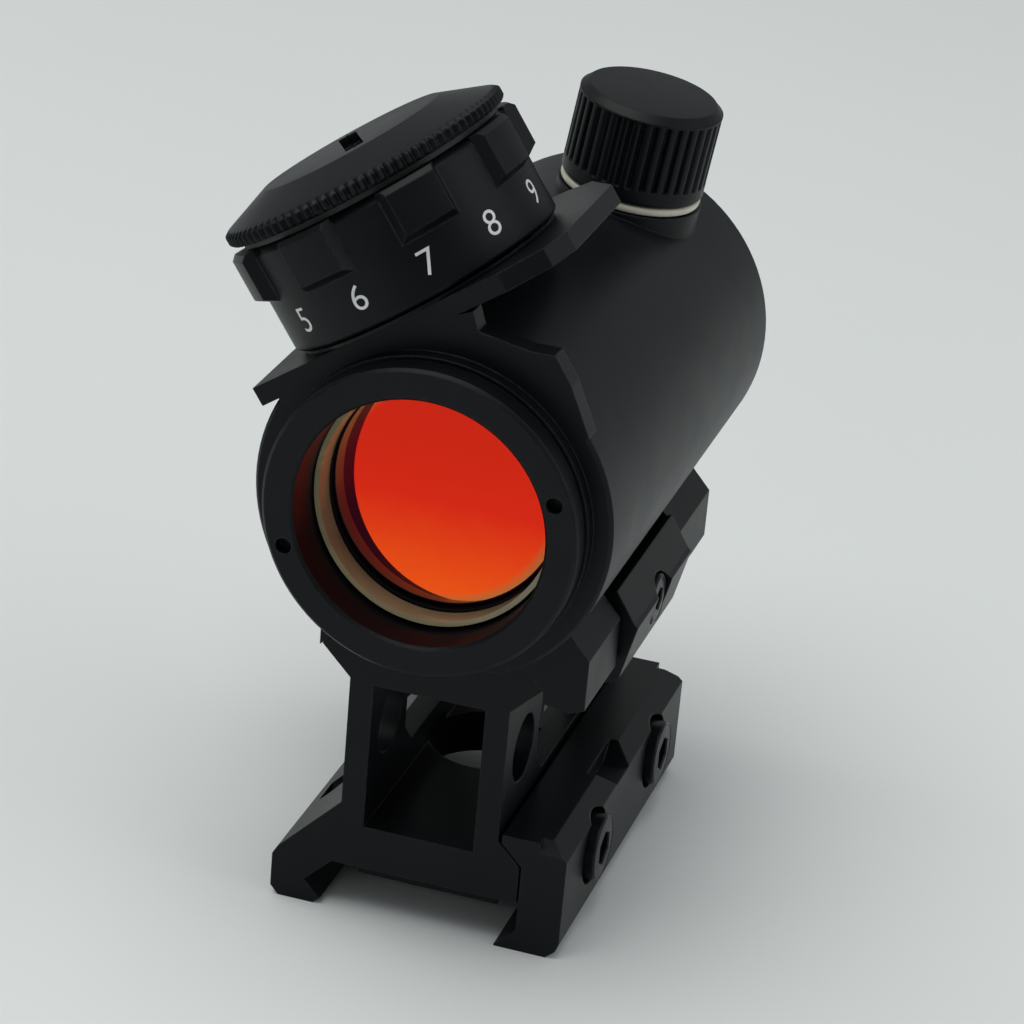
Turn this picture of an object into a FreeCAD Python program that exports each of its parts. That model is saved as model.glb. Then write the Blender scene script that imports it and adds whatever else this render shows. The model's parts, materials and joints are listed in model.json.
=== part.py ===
"""Compact red dot sight on a skeletonised rail riser, built as separate pieces.

Frame: +Z up, X to the right when looking along the sight from the front,
+Y along the optical axis from the objective to the eye end.  The origin is the
centre of the riser's flat underside seat, the face that rests on a cross-slot rail.
Millimetres throughout.
"""
import FreeCAD, Part
import math
import os
import re
import Sketcher

doc = FreeCAD.newDocument("red_dot_sight")
sheet = doc.addObject("Spreadsheet::Sheet", "dims")

SIZES = [
    # optical axis and main tube
    ("front_y", -28.5, "front face of the bezel"),
    ("tube_length", 59.5, "bezel face to the eye end"),
    ("bore_radius", 13.0, "bore of the main tube"),
    ("tube_wall", 3.6, "wall of the main tube"),
    ("floor_thick", 1.6, "riser rail land to the bore"),
    ("step_depth", 4.0, "annular step behind the bezel"),
    # bezel and lenses
    ("bezel_thick", 2.4, "flange of the bezel"),
    ("spigot_depth", 6.2, "back of the threaded spigot"),
    ("spanner_angle", 20.5, "turn of the spanner holes"),
    ("spanner_hole", 0.75, "radius of a spanner hole"),
    ("cell_wall", 1.0, "wall of the inner tube"),
    ("cell_front", 8.4, "middle of the inner tube's leaning front edge"),
    ("lens_front", 8.7, "middle of the lens's front face"),
    ("lens_thick", 3.2, "thickness of the lens"),
    ("lens_curve", 70.0, "radius of the lens's back face"),
    ("lens_lean", -7.0, "lean that sends the dot along the tube"),
    ("pivot_depth", 10.4, "middle of the pivot ring"),
    ("turn_gap", 0.1, "radial clearance of turned fits"),
    # riser
    ("riser_length", 40.8, "riser and clamp bar"),
    ("riser_top", 25.2, "upper rail land above the seat"),
    ("rail_half", 10.605, "half the width of a cross-slot rail"),
    ("rail_drop", 2.77, "height of one rail flank"),
    ("window_low", 4.4, "bottom of the long window"),
    ("shoulder_z", 6.5, "where the neck meets the sloping foot"),
    ("foot_top", 3.9, "top of the foot's right edge"),
    ("jaw_wall", 3.595, "jaw outside the rail's edge"),
    ("jaw_low", -4.9, "underside of both jaws"),
    ("side_hole", 3.3, "round hole in each side wall"),
    ("side_hole_y", 14.5, "round holes from the middle"),
    ("side_hole_z", 13.1, "round holes above the seat"),
    ("side_window", 9.6, "half the length of the side window"),
    ("floor_hole", 6.0, "radius of the hole in the foot"),
    ("slot_width", 5.23, "recoil slot"),
    ("slot_depth", 3.0, "recoil slot"),
    ("slot_pitch", 10.01, "recoil slot spacing"),
    # rail clamp
    ("bar_gap", 0.2, "bar to foot when closed"),
    ("bar_top", 6.9, "top of the clamp bar"),
    ("bolt_y", 10.4, "clamp bolts from the middle"),
    ("bolt_z", 2.15, "clamp bolts above the seat"),
    ("bolt_radius", 1.95, "clamp bolt shank"),
    ("bolt_head", 3.2, "clamp bolt head radius"),
    ("bolt_hex", 1.75, "corner radius of the bolt's hexagon"),
    ("bolt_proud", 1.0, "bolt face outside the bar"),
    ("recess_deep", 2.2, "recess round a bolt head"),
    # sight base
    ("base_wall", 4.095, "sight base outside the rail's edge"),
    ("base_front", -20.8, "front of the sight base"),
    ("base_back", 21.4, "back of the sight base"),
    ("seat_gap", 0.05, "play between base and riser rail"),
    ("plate_front", -9.7, "front of the clamp plate"),
    ("plate_back", 9.3, "back of the clamp plate"),
    ("plate_gap", 0.6, "widest play at the ends of the plate"),
    ("plate_screw", 1.45, "clamp plate screw shank"),
    ("plate_head", 2.4, "clamp plate screw head radius"),
    ("plate_hex", 1.15, "corner radius of the screw's hexagon"),
    # dial
    ("dial_tilt", -34.9, "lean of the dial axis from upright"),
    ("dial_shift", 5.0, "dial axis beside the optical axis"),
    ("dial_back", 15.4, "dial axis behind the bezel face"),
    ("platform_thick", 1.8, "platform plate"),
    ("post_radius", 8.0, "fixed post inside the dial"),
    ("post_screw_ring", 4.4, "circle of the post screws"),
    ("drum_radius", 13.2, "numbered band of the dial"),
    ("drum_wall", 1.8, "wall of the dial"),
    ("band_high", 5.1, "height of the numbered band"),
    ("lug_width", 6.0, "one grip lug"),
    ("lug_high", 5.1, "height of the grip lugs"),
    ("lug_proud", 0.9, "grip lugs outside the band"),
    ("lug_count", 8, "grip lugs round the dial"),
    ("lug_turn", -53.6, "turn of the first grip lug"),
    ("cap_high", 3.7, "battery cap above the dial"),
    ("slot_turn", -63.6, "turn of the coin slot"),
    ("cell_size", 10.0, "radius of the coin cell"),
    ("cell_thick", 3.2, "coin cell"),
    ("detent_ball", 0.6, "radius of the detent ball"),
    # adjusters
    ("elev_tilt", 8.14, "lean of the elevation axis"),
    ("elev_shift", 1.25, "elevation axis beside the optical axis"),
    ("wind_tilt", -81.86, "lean of the windage axis"),
    ("wind_shift", 0.0, "windage axis beside the optical axis"),
    ("turret_ahead", 10.35, "adjusters ahead of the eye end"),
    ("turret_cap", 7.0, "outside of a turret cap"),
    ("turret_high", 10.05, "turret cap above its collar"),
    ("neck_high", 4.65, "turret neck above its collar"),
    ("flute_count", 36, "flutes round a turret cap"),
    ("pin_radius", 1.65, "adjuster pin"),
]

# Places that follow from the sizes above, each with the clearance that it needs.
FITTED = [
    ("axis_height", "riser_top + bore_radius + floor_thick"),
    ("tube_radius", "bore_radius + tube_wall"),
    ("lip_radius", "bore_radius + 1.8"),
    ("eye_bore", "bore_radius - 0.5"),
    ("bezel_radius", "lip_radius - 0.3"),
    ("spigot_radius", "bore_radius + 0.4"),
    ("aperture_radius", "bore_radius - 1.4"),
    ("spanner_radius", "(aperture_radius + bezel_radius) / 2 - 0.1"),
    ("cell_radius", "bore_radius - 1.1"),
    ("cell_bore", "cell_radius - cell_wall"),
    ("cell_back", "tube_length - 8"),
    ("lens_radius", "cell_bore - turn_gap"),
    ("lens_middle", "lens_front + lens_thick / 2"),
    ("lens_edge", "lens_front + lens_thick - lens_radius * lens_radius / (2 * lens_curve)"),
    ("retainer_middle", "lens_edge + 0.88"),
    ("spacer_middle", "lens_front - 1.95"),
    ("window_seat", "tube_length - 4.5"),
    ("rail_top_half", "rail_half - rail_drop"),
    ("neck_half", "rail_top_half - 0.135"),
    ("neck_top", "riser_top - rail_drop - rail_half + neck_half"),
    ("window_half", "neck_half - 2.3"),
    ("window_high", "riser_top - 6"),
    ("jaw_x", "rail_half + jaw_wall"),
    ("foot_x", "rail_half - 0.655"),
    ("bar_inner", "foot_x + bar_gap"),
    ("bar_x", "jaw_x + 0.2"),
    ("bolt_face", "bar_x + bolt_proud"),
    ("bolt_bore", "bolt_radius + 0.08"),
    ("recess_radius", "bolt_head + 0.55"),
    ("recess_floor", "bar_x - recess_deep"),
    ("base_x", "rail_half + base_wall"),
    ("base_top", "axis_height - 11.1"),
    ("base_reach", "rail_half + 0.12"),
    ("screw_z", "riser_top - 1.25"),
    ("screw_bore", "plate_screw + 0.06"),
    ("dial_y", "front_y + dial_back"),
    ("platform_top", "tube_radius - 0.15"),
    ("platform_low", "platform_top - platform_thick"),
    ("washer_low", "platform_top + 0.05"),
    ("drum_low", "platform_top + 0.55"),
    ("band_top", "drum_low + band_high"),
    ("drum_top", "band_top + lug_high"),
    ("drum_bore", "drum_radius - drum_wall"),
    ("lug_radius", "drum_radius + lug_proud"),
    ("cap_rim", "drum_radius + 0.65"),
    ("cap_crown", "drum_top + cap_high"),
    ("board_low", "platform_top + 3.8"),
    ("tray_low", "board_low + 1.25"),
    ("cell_low", "tray_low + 1.5"),
    ("detent_ring", "drum_radius - 2.8"),
    ("turret_y", "front_y + tube_length - turret_ahead"),
    ("collar_radius", "turret_cap + turn_gap"),
    ("collar_top", "tube_radius + 0.35"),
    ("stub_radius", "turret_cap - 1.7"),
    ("stub_top", "collar_top + neck_high"),
    ("cap_top", "collar_top + turret_high"),
    ("cap_bore", "stub_radius + 0.12"),
    ("pin_tip", "cell_radius + 0.2"),
]

for row, (alias, value, note) in enumerate(SIZES, start=1):
    sheet.set("A%d" % row, note)
    sheet.set("B%d" % row, str(value))
    sheet.setAlias("B%d" % row, alias)
doc.recompute()

FITS = dict(FITTED)
WORD = re.compile(r"\b(" + "|".join(alias for alias, value, note in SIZES) + r")\b")
FIT = re.compile(r"\b(" + "|".join(FITS) + r")\b")
pieces = []


def rule(text):
    """Turn 'bore_radius + 1' into an expression that reads the sheet."""
    text = str(text)
    while FIT.search(text):
        text = FIT.sub(lambda found: "(%s)" % FITS[found.group(1)], text)
    return WORD.sub(r"dims.\1", text)


def number(text):
    """Present value of an expression, as a plain float."""
    value = sheet.evalExpression(rule(text))
    return float(getattr(value, "Value", value))


def drive(thing, prop, text):
    """Bind one property to an expression; a plain number is simply stored."""
    thing.setExpression(prop, rule(text))


def new_body(name):
    body = doc.addObject("PartDesign::Body", name)
    body.Label = name
    pieces.append(body)
    return body


def origin_plane(body, role):
    return [item for item in body.Origin.OriginFeatures if item.Role == role][0]


def new_sketch(body, role):
    count = len([item for item in body.Group if item.isDerivedFrom("Sketcher::SketchObject")])
    sketch = body.newObject("Sketcher::SketchObject", "%s_sketch_%d" % (body.Name, count + 1))
    sketch.AttachmentSupport = (origin_plane(body, role), [""])
    sketch.MapMode = "FlatFace"
    return sketch


def fix_point(sketch, shape, point, across, up):
    """Hold one sketch point at two sheet-driven coordinates."""
    for kind, text in (("DistanceX", across), ("DistanceY", up)):
        held = sketch.addConstraint(Sketcher.Constraint(kind, -1, 1, shape, point, number(text)))
        drive(sketch, "Constraints[%d]" % held, text)


def draw_loop(sketch, corners):
    """Closed outline; every corner is a pair of expressions."""
    spots = [FreeCAD.Vector(number(across), number(up), 0) for across, up in corners]
    first = sketch.GeometryCount
    for index, spot in enumerate(spots):
        after = spots[(index + 1) % len(spots)]
        sketch.addGeometry(Part.LineSegment(spot, after), False)
    for index in range(len(spots)):
        following = first + (index + 1) % len(spots)
        sketch.addConstraint(Sketcher.Constraint("Coincident", first + index, 2, following, 1))
    for index, (across, up) in enumerate(corners):
        fix_point(sketch, first + index, 1, across, up)


def draw_circle(sketch, across, up, radius):
    centre = FreeCAD.Vector(number(across), number(up), 0)
    shape = sketch.addGeometry(Part.Circle(centre, FreeCAD.Vector(0, 0, 1), number(radius)), False)
    held = sketch.addConstraint(Sketcher.Constraint("Radius", shape, number(radius)))
    drive(sketch, "Constraints[%d]" % held, radius)
    fix_point(sketch, shape, 3, across, up)


def turned(body, profile, angle=360, cut=False, support="XZ_Plane", lift=None):
    """Solid or groove turned about the body's own Z, or about Y at a height."""
    sketch = new_sketch(body, support)
    if lift is not None:
        drive(sketch, "AttachmentOffset.Base.y", lift)
        doc.recompute()
    draw_loop(sketch, profile)
    kind = "PartDesign::Groove" if cut else "PartDesign::Revolution"
    feature = body.newObject(kind, "%s_turn_%d" % (body.Name, len(body.Group)))
    feature.Profile = sketch
    feature.ReferenceAxis = (sketch, ["V_Axis"] if lift is None else ["H_Axis"])
    feature.Angle = angle
    if angle != 360:
        feature.Midplane = True
    doc.recompute()
    return feature


def sweep_flat(body, role, at, depth, loops, cut=False, tilt=None, spin=None):
    """Pad or pocket between the planes 'at' and 'at + depth' of one direction.

    With a tilt the sketch lies across an axis leaning from Z towards X by that
    angle and passing through the optical axis; 'at' is then measured along it.
    A spin turns the sketch about its own normal.
    """
    sketch = new_sketch(body, role)
    if tilt is not None:
        sketch.AttachmentOffset = FreeCAD.Placement(
            FreeCAD.Vector(0, 0, 0), FreeCAD.Rotation(FreeCAD.Vector(0, 1, 0), number(tilt)))
        drive(sketch, "AttachmentOffset.Rotation.Angle", tilt)
        drive(sketch, "AttachmentOffset.Base.x", "(%s) * sin((%s) * 1 deg)" % (at, tilt))
        drive(sketch, "AttachmentOffset.Base.z",
              "axis_height + (%s) * cos((%s) * 1 deg)" % (at, tilt))
    elif role == "XZ_Plane":
        drive(sketch, "AttachmentOffset.Base.z", "-(%s)" % at)
    else:
        if spin is not None:
            sketch.AttachmentOffset = FreeCAD.Placement(
                FreeCAD.Vector(0, 0, 0), FreeCAD.Rotation(FreeCAD.Vector(0, 0, 1), number(spin)))
            drive(sketch, "AttachmentOffset.Rotation.Angle", spin)
        drive(sketch, "AttachmentOffset.Base.z", at)
    doc.recompute()
    for loop in loops:
        if len(loop) == 3 and not isinstance(loop[0], tuple):
            draw_circle(sketch, *loop)
        else:
            draw_loop(sketch, loop)
    kind = "PartDesign::Pocket" if cut else "PartDesign::Pad"
    feature = body.newObject(kind, "%s_flat_%d" % (body.Name, len(body.Group)))
    feature.Profile = sketch
    drive(feature, "Length", depth)
    against = role == "XZ_Plane"
    feature.Reversed = (not against) if cut else against
    before = body.Shape.Volume if cut else 0.0
    doc.recompute()
    if cut and body.Shape.Volume >= before - 1e-6:
        raise RuntimeError("%s cuts nothing" % feature.Name)
    return feature


def around(body, feature, count):
    """Repeat a feature round the body's own Z."""
    pattern = body.newObject("PartDesign::PolarPattern", "%s_ring" % feature.Name)
    pattern.Originals = [feature]
    pattern.Axis = (feature.Profile[0], ["N_Axis"])
    pattern.Angle = 360
    drive(pattern, "Occurrences", count)
    body.Tip = pattern
    feature.Visibility = False
    doc.recompute()
    return pattern


def set_along_sight(body):
    """Local Z becomes +Y of the sight, starting at the bezel face."""
    body.Placement = FreeCAD.Placement(
        FreeCAD.Vector(0, 0, 0), FreeCAD.Rotation(FreeCAD.Vector(1, 0, 0), -90))
    drive(body, "Placement.Base.y", "front_y")
    drive(body, "Placement.Base.z", "axis_height")


def set_leaning(middle):
    """As set_along_sight, then leant with the lens about one depth on the optical axis."""
    def place(body):
        set_along_sight(body)
        drive(body, "Placement.Rotation.Angle", "lens_lean - 90")
        drive(body, "Placement.Base.y",
              "front_y + (%s) * (1 - cos(lens_lean * 1 deg))" % middle)
        drive(body, "Placement.Base.z", "axis_height - (%s) * sin(lens_lean * 1 deg)" % middle)
    return place


def set_on_axis(body, tilt, shift, along):
    """Local Z becomes an axis leaning by 'tilt', 'shift' beside the optical axis."""
    body.Placement = FreeCAD.Placement(
        FreeCAD.Vector(0, 0, 0), FreeCAD.Rotation(FreeCAD.Vector(0, 1, 0), number(tilt)))
    drive(body, "Placement.Rotation.Angle", tilt)
    drive(body, "Placement.Base.x", "%s * cos(%s * 1 deg)" % (shift, tilt))
    drive(body, "Placement.Base.y", along)
    drive(body, "Placement.Base.z", "axis_height - %s * sin(%s * 1 deg)" % (shift, tilt))


def on_dial(body):
    set_on_axis(body, "dial_tilt", "dial_shift", "dial_y")


def ring(name, profile, place, angle=360, support="XZ_Plane"):
    """One turned piece with its own placement."""
    body = new_body(name)
    turned(body, profile, angle, support=support)
    place(body)
    return body


def three_round(across, along, radius):
    """Circles of the three post screws about a point."""
    return [("%s + post_screw_ring * cos(%d deg)" % (across, turn),
             "%s + post_screw_ring * sin(%d deg)" % (along, turn), radius)
            for turn in (30, 150, 270)]


# --- riser ---------------------------------------------------------------

def build_riser():
    body = new_body("riser_frame")
    section = [
        ("-rail_top_half", "riser_top"), ("-rail_half", "riser_top - rail_drop"),
        ("-neck_half", "neck_top"),
        ("-neck_half", "shoulder_z"),
        ("-jaw_x + 0.5", "0.3"), ("-jaw_x", "-0.6"), ("-jaw_x", "jaw_low + 0.9"),
        ("-jaw_x + 0.8", "jaw_low"), ("-rail_half + 0.7", "jaw_low"),
        ("-rail_half + 1.4", "jaw_low + 0.6"), ("-rail_half - 0.3", "-rail_drop + 0.17"),
        ("-rail_top_half - 0.45", "0"), ("foot_x", "0"), ("foot_x", "foot_top"),
        ("neck_half", "foot_top + foot_x - neck_half"),
        ("neck_half", "neck_top"),
        ("rail_half", "riser_top - rail_drop"), ("rail_top_half", "riser_top"),
    ]
    sweep_flat(body, "XZ_Plane", "-riser_length / 2", "riser_length", [section])
    lug = [
        ("-rail_top_half + 1.335", "0.2"), ("-rail_top_half + 1.335", "-2.3"),
        ("rail_top_half - 0.535", "-2.3"), ("rail_top_half - 0.535", "0.2"),
    ]
    sweep_flat(body, "XZ_Plane", "-1.5 * slot_pitch - slot_width / 2 + 0.215", "slot_width - 0.43", [lug])
    window = [
        ("-window_half", "window_low"), ("window_half", "window_low"),
        ("window_half", "window_high"), ("-window_half", "window_high"),
    ]
    sweep_flat(body, "XZ_Plane", "-riser_length / 2 - 1", "riser_length + 2", [window], cut=True)
    side_window = [
        ("-side_window", "side_hole_z - 3.3"), ("-side_window + 2.3", "side_hole_z - 5.6"),
        ("side_window - 2.3", "side_hole_z - 5.6"), ("side_window", "side_hole_z - 3.3"),
        ("side_window", "side_hole_z + 1.1"), ("side_window - 2.3", "side_hole_z + 3.4"),
        ("-side_window + 2.3", "side_hole_z + 3.4"), ("-side_window", "side_hole_z + 1.1"),
    ]
    holes = [
        ("-side_hole_y", "side_hole_z", "side_hole"), ("side_hole_y", "side_hole_z", "side_hole"),
        side_window,
    ]
    sweep_flat(body, "YZ_Plane", "-neck_half - 1", "2 * neck_half + 2", holes, cut=True)
    sweep_flat(body, "XY_Plane", "-1", "window_low + 2", [("0", "1.2", "floor_hole")], cut=True)
    slots = []
    for step in (-1, 0, 1):
        middle = "%d * slot_pitch" % step
        slots.append([
            ("%s - slot_width / 2" % middle, "riser_top - slot_depth"),
            ("%s + slot_width / 2" % middle, "riser_top - slot_depth"),
            ("%s + slot_width / 2" % middle, "riser_top + 1"),
            ("%s - slot_width / 2" % middle, "riser_top + 1"),
        ])
    sweep_flat(body, "YZ_Plane", "-rail_half - 1", "2 * rail_half + 2", slots, cut=True)
    bores = [("%sbolt_y" % side, "bolt_z", "bolt_radius + 0.05") for side in ("-", "")]
    sweep_flat(body, "YZ_Plane", "-jaw_x + 1.6", "jaw_x + foot_x", bores, cut=True)


def build_clamp_bar():
    body = new_body("rail_clamp_bar")
    section = [
        ("bar_inner", "foot_top + 0.05"),
        ("neck_half + 0.35", "foot_top + 0.05 + bar_inner - neck_half - 0.35"),
        ("neck_half + 0.4", "bar_top"), ("bar_x - 1.7", "bar_top"), ("bar_x", "bar_top - 1.5"),
        ("bar_x", "jaw_low + 1.6"), ("bar_x - 0.3", "jaw_low + 0.8"), ("bar_x - 1.2", "jaw_low"),
        ("bar_inner - 2", "jaw_low"), ("bar_inner - 2", "jaw_low + 0.15"),
        ("bar_inner", "-rail_drop + 0.02"),
    ]
    sweep_flat(body, "XZ_Plane", "-riser_length / 2", "riser_length", [section])
    scoops = []
    for low, high in (("-3.6", "0.4"), ("-riser_length / 2 - 5", "-riser_length / 2 - 0.6"),
                      ("riser_length / 2 + 0.6", "riser_length / 2 + 5")):
        scoops.append([
            (low + " - 2.4", "bar_top + 0.5"), (low, "bar_top - 1.6"),
            (high, "bar_top - 1.6"), (high + " + 2.4", "bar_top + 0.5"),
        ])
    sweep_flat(body, "YZ_Plane", "bar_x - 2.6", "4", scoops, cut=True)
    recess = [("%sbolt_y" % side, "bolt_z", "recess_radius") for side in ("-", "")]
    sweep_flat(body, "YZ_Plane", "recess_floor", "4", recess, cut=True)
    through = [("%sbolt_y" % side, "bolt_z", "bolt_bore") for side in ("-", "")]
    sweep_flat(body, "YZ_Plane", "foot_x - 3", "8", through, cut=True)


def place_screw(along, height, face):
    """Screws lie along X with the head face outwards."""
    def place(body):
        body.Placement = FreeCAD.Placement(
            FreeCAD.Vector(0, 0, 0), FreeCAD.Rotation(FreeCAD.Vector(0, 1, 0), 90))
        drive(body, "Placement.Base.x", face)
        drive(body, "Placement.Base.y", along)
        drive(body, "Placement.Base.z", height)
    return place


def hex_loop(radius):
    return [("%s * %.6f" % (radius, math.cos(math.radians(60 * step))),
             "%s * %.6f" % (radius, math.sin(math.radians(60 * step)))) for step in range(6)]


def build_bolt(name, along):
    body = new_body(name)
    head = "bolt_face - recess_floor - 0.05"
    turned(body, [
        ("0", "-bolt_face - foot_x + 0.5"), ("bolt_radius", "-bolt_face - foot_x + 0.5"),
        ("bolt_radius", "-(%s)" % head), ("bolt_head", "-(%s)" % head),
        ("bolt_head", "-0.4"), ("bolt_head - 0.4", "0"), ("0", "0"),
    ])
    sweep_flat(body, "XY_Plane", "-1.9", "2.5", [hex_loop("bolt_hex")], cut=True)
    place_screw(along, "bolt_z", "bolt_face")(body)


# --- sight housing -------------------------------------------------------

def build_housing():
    body = new_body("sight_housing")
    start = "front_y + bezel_thick + 0.2"
    step = "front_y + step_depth"
    back = "front_y + tube_length"
    turned(body, [
        (start, "0"), (start, "lip_radius"), (step, "lip_radius"), (step, "tube_radius - 0.3"),
        (step + " + 0.3", "tube_radius"), (back + " - 0.4", "tube_radius"),
        (back, "tube_radius - 0.4"), (back, "0"),
    ], support="YZ_Plane", lift="axis_height")
    base = [
        ("-base_x + 2.1", "base_top"), ("-base_x", "riser_top + 1.2"),
        ("-base_x", "riser_top - 4.3"), ("-base_x + 1.3", "riser_top - 5.6"),
        ("-rail_half + 1.2", "riser_top - 5.6"), ("-rail_half - 0.2", "riser_top - 4.7"),
        ("base_x - 3.75", "riser_top - 4.7"), ("base_x - 3.75", "riser_top - 3.9"),
        ("base_x - 1.4", "riser_top - 4.3"), ("base_x", "riser_top - 3.7"),
        ("base_x", "riser_top + 1.2"), ("base_x - 2.1", "base_top"),
    ]
    sweep_flat(body, "XZ_Plane", "base_front", "base_back - base_front", [base])
    platform = [
        ("dial_shift - drum_radius - 1.4", "front_y + step_depth"),
        ("dial_shift + drum_radius - 1.7", "front_y + step_depth"),
        ("dial_shift + drum_radius + 2.4", "front_y + step_depth + 1.8"),
        ("dial_shift + drum_radius + 3.8", "front_y + step_depth + 4.6"),
        ("dial_shift + drum_radius + 3.8", "dial_y + 7.1"),
        ("dial_shift + drum_radius - 0.7", "dial_y + 14.3"),
        ("dial_shift + drum_radius - 4.2", "dial_y + 15.7"),
        ("dial_shift - drum_radius + 2.7", "dial_y + 15.7"),
        ("dial_shift - drum_radius - 1.4", "dial_y + 11.6"),
    ]
    sweep_flat(body, "XY_Plane", "platform_low", "platform_thick", [platform],
               tilt="dial_tilt")
    fill = [
        ("dial_shift - 12.8", "front_y + step_depth"), ("dial_shift + 4", "front_y + step_depth"),
        ("dial_shift + 4", "dial_y + 10.1"), ("dial_shift + 1", "dial_y + 14.3"),
        ("dial_shift - 10", "dial_y + 14.3"), ("dial_shift - 12.8", "dial_y + 11.6"),
    ]
    sweep_flat(body, "XY_Plane", "bore_radius - 5", "platform_low - bore_radius + 5.5", [fill],
               tilt="dial_tilt")
    gusset = [
        ("0", "axis_height + 7.2"), ("-2", "axis_height + tube_radius + 0.6"),
        ("2.3", "axis_height + tube_radius + 2.5"), ("2.9", "axis_height + tube_radius + 0.8"),
        ("7.7", "axis_height + tube_radius - 0.1"), ("9.9", "axis_height + tube_radius - 0.1"),
        ("11.6", "axis_height + tube_radius - 2.6"), ("13.6", "axis_height + tube_radius - 7"),
        ("11.5", "axis_height + 7.2"),
    ]
    sweep_flat(body, "XZ_Plane", "front_y + step_depth", "2.2", [gusset])
    sweep_flat(body, "XY_Plane", "platform_top", "2", [platform], cut=True, tilt="dial_tilt")
    for tilt, shift in (("elev_tilt", "elev_shift"), ("wind_tilt", "wind_shift")):
        for low, high, radius, cut in (
            ("bore_radius - 2", "collar_top", "collar_radius", False),
            ("bore_radius - 1", "stub_top", "stub_radius", False),
            ("collar_top + 1.55", "stub_top + 1", "stub_radius - 1", True),
            ("bore_radius - 3", "stub_top + 1", "pin_radius + turn_gap", True),
        ):
            sweep_flat(body, "XY_Plane", low, "%s - (%s)" % (high, low),
                       [(shift, "turret_y", radius)], cut=cut, tilt=tilt)
    turned(body, [
        ("front_y - 1", "0"), ("front_y - 1", "spigot_radius + 0.05"),
        ("front_y + spigot_depth + 0.4", "spigot_radius + 0.05"),
        ("front_y + spigot_depth + 0.4", "bore_radius"),
        ("front_y + window_seat - 1.4", "bore_radius"),
        ("front_y + window_seat - 1.4", "eye_bore - 0.9"),
        ("front_y + window_seat", "eye_bore - 0.9"), ("front_y + window_seat", "eye_bore"),
        ("front_y + tube_length + 1", "eye_bore"), ("front_y + tube_length + 1", "0"),
    ], cut=True, support="YZ_Plane", lift="axis_height")
    seat = "riser_top + seat_gap"
    flank = "riser_top - rail_drop"
    groove = [
        ("-rail_top_half - 0.12", seat), ("-base_reach", flank),
        ("-rail_half + 1.95", flank + " - 2.15"), ("-rail_half + 1.95", "riser_top - 7.2"),
        ("base_reach", "riser_top - 7.2"), ("base_reach", flank), ("rail_top_half + 0.12", seat),
    ]
    sweep_flat(body, "XZ_Plane", "front_y", "tube_length + 1", [groove], cut=True)
    corner = [
        ("-base_x - 1", "riser_top - 7.2"), ("-rail_half + 2", "riser_top - 7.2"),
        ("-rail_half + 2", flank), ("-base_reach", flank), ("-base_reach", "riser_top + 1.6"),
        ("-base_x + 2", "riser_top + 3.6"), ("-base_x - 1", "riser_top + 3.6"),
    ]
    sweep_flat(body, "XZ_Plane", "base_front - 1", "plate_front - base_front", [corner], cut=True)
    notch = [
        ("base_reach", "riser_top - 7.2"), ("base_x + 3", "riser_top - 7.2"),
        ("base_x + 3", "riser_top + 3.6"), ("base_x - 1", "riser_top + 3.6"),
        ("base_x - 2.5", "riser_top + 2.9"), ("base_reach", "riser_top + 2.4"),
    ]
    sweep_flat(body, "XZ_Plane", "plate_front - 1", "plate_back + plate_gap - plate_front + 1",
               [notch], cut=True)
    sweep_flat(body, "YZ_Plane", "-base_x + 1.2", "2 * base_x - 0.7",
               [("0", "screw_z", "screw_bore")], cut=True)
    sweep_flat(body, "XY_Plane", "bore_radius - 3", "tube_wall + 4.4",
               [("dial_shift", "dial_y", "1.8")], cut=True, tilt="dial_tilt")
    sweep_flat(body, "XY_Plane", "platform_top - 2.55", "4",
               [("dial_shift - detent_ring", "dial_y", "detent_ball + 0.05")],
               cut=True, tilt="dial_tilt")
    sweep_flat(body, "XY_Plane", "platform_top - 2.25", "4",
               three_round("dial_shift", "dial_y", "0.65"), cut=True, tilt="dial_tilt")


def build_clamp_plate():
    body = new_body("base_clamp_plate")
    section = [
        ("rail_half + 0.25", "riser_top - 2.9"), ("rail_half + 0.25", "riser_top + 2.2"),
        ("base_x - 2.4", "riser_top + 2.6"), ("base_x - 0.8", "riser_top + 3.3"),
        ("base_x + 1.15", "riser_top + 0.3"), ("base_x + 1.5", "riser_top - 0.1"),
        ("base_x + 0.2", "riser_top - 5.4"), ("base_x - 0.6", "riser_top - 6.2"),
        ("rail_half - 1.7", "riser_top - 6.2"), ("rail_half - 2.3", "riser_top - 5.45"),
    ]
    sweep_flat(body, "XZ_Plane", "plate_front", "plate_back - plate_front", [section])
    sweep_flat(body, "YZ_Plane", "rail_half - 2.6", "12", [("0", "screw_z", "screw_bore")],
               cut=True)
    sweep_flat(body, "YZ_Plane", "base_x - 0.6", "4", [("0", "screw_z", "plate_head + 0.2")],
               cut=True)


def build_clamp_screw():
    body = new_body("base_clamp_screw")
    turned(body, [
        ("0", "-2 * base_x + 0.8"), ("plate_screw", "-2 * base_x + 0.8"),
        ("plate_screw", "-1.55"), ("plate_head", "-1.55"), ("plate_head", "-0.3"),
        ("plate_head - 0.3", "0"), ("0", "0"),
    ])
    sweep_flat(body, "XY_Plane", "-1.2", "2", [hex_loop("plate_hex")], cut=True)
    place_screw("0", "screw_z", "base_x + 1.0")(body)


# --- optics --------------------------------------------------------------

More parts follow.
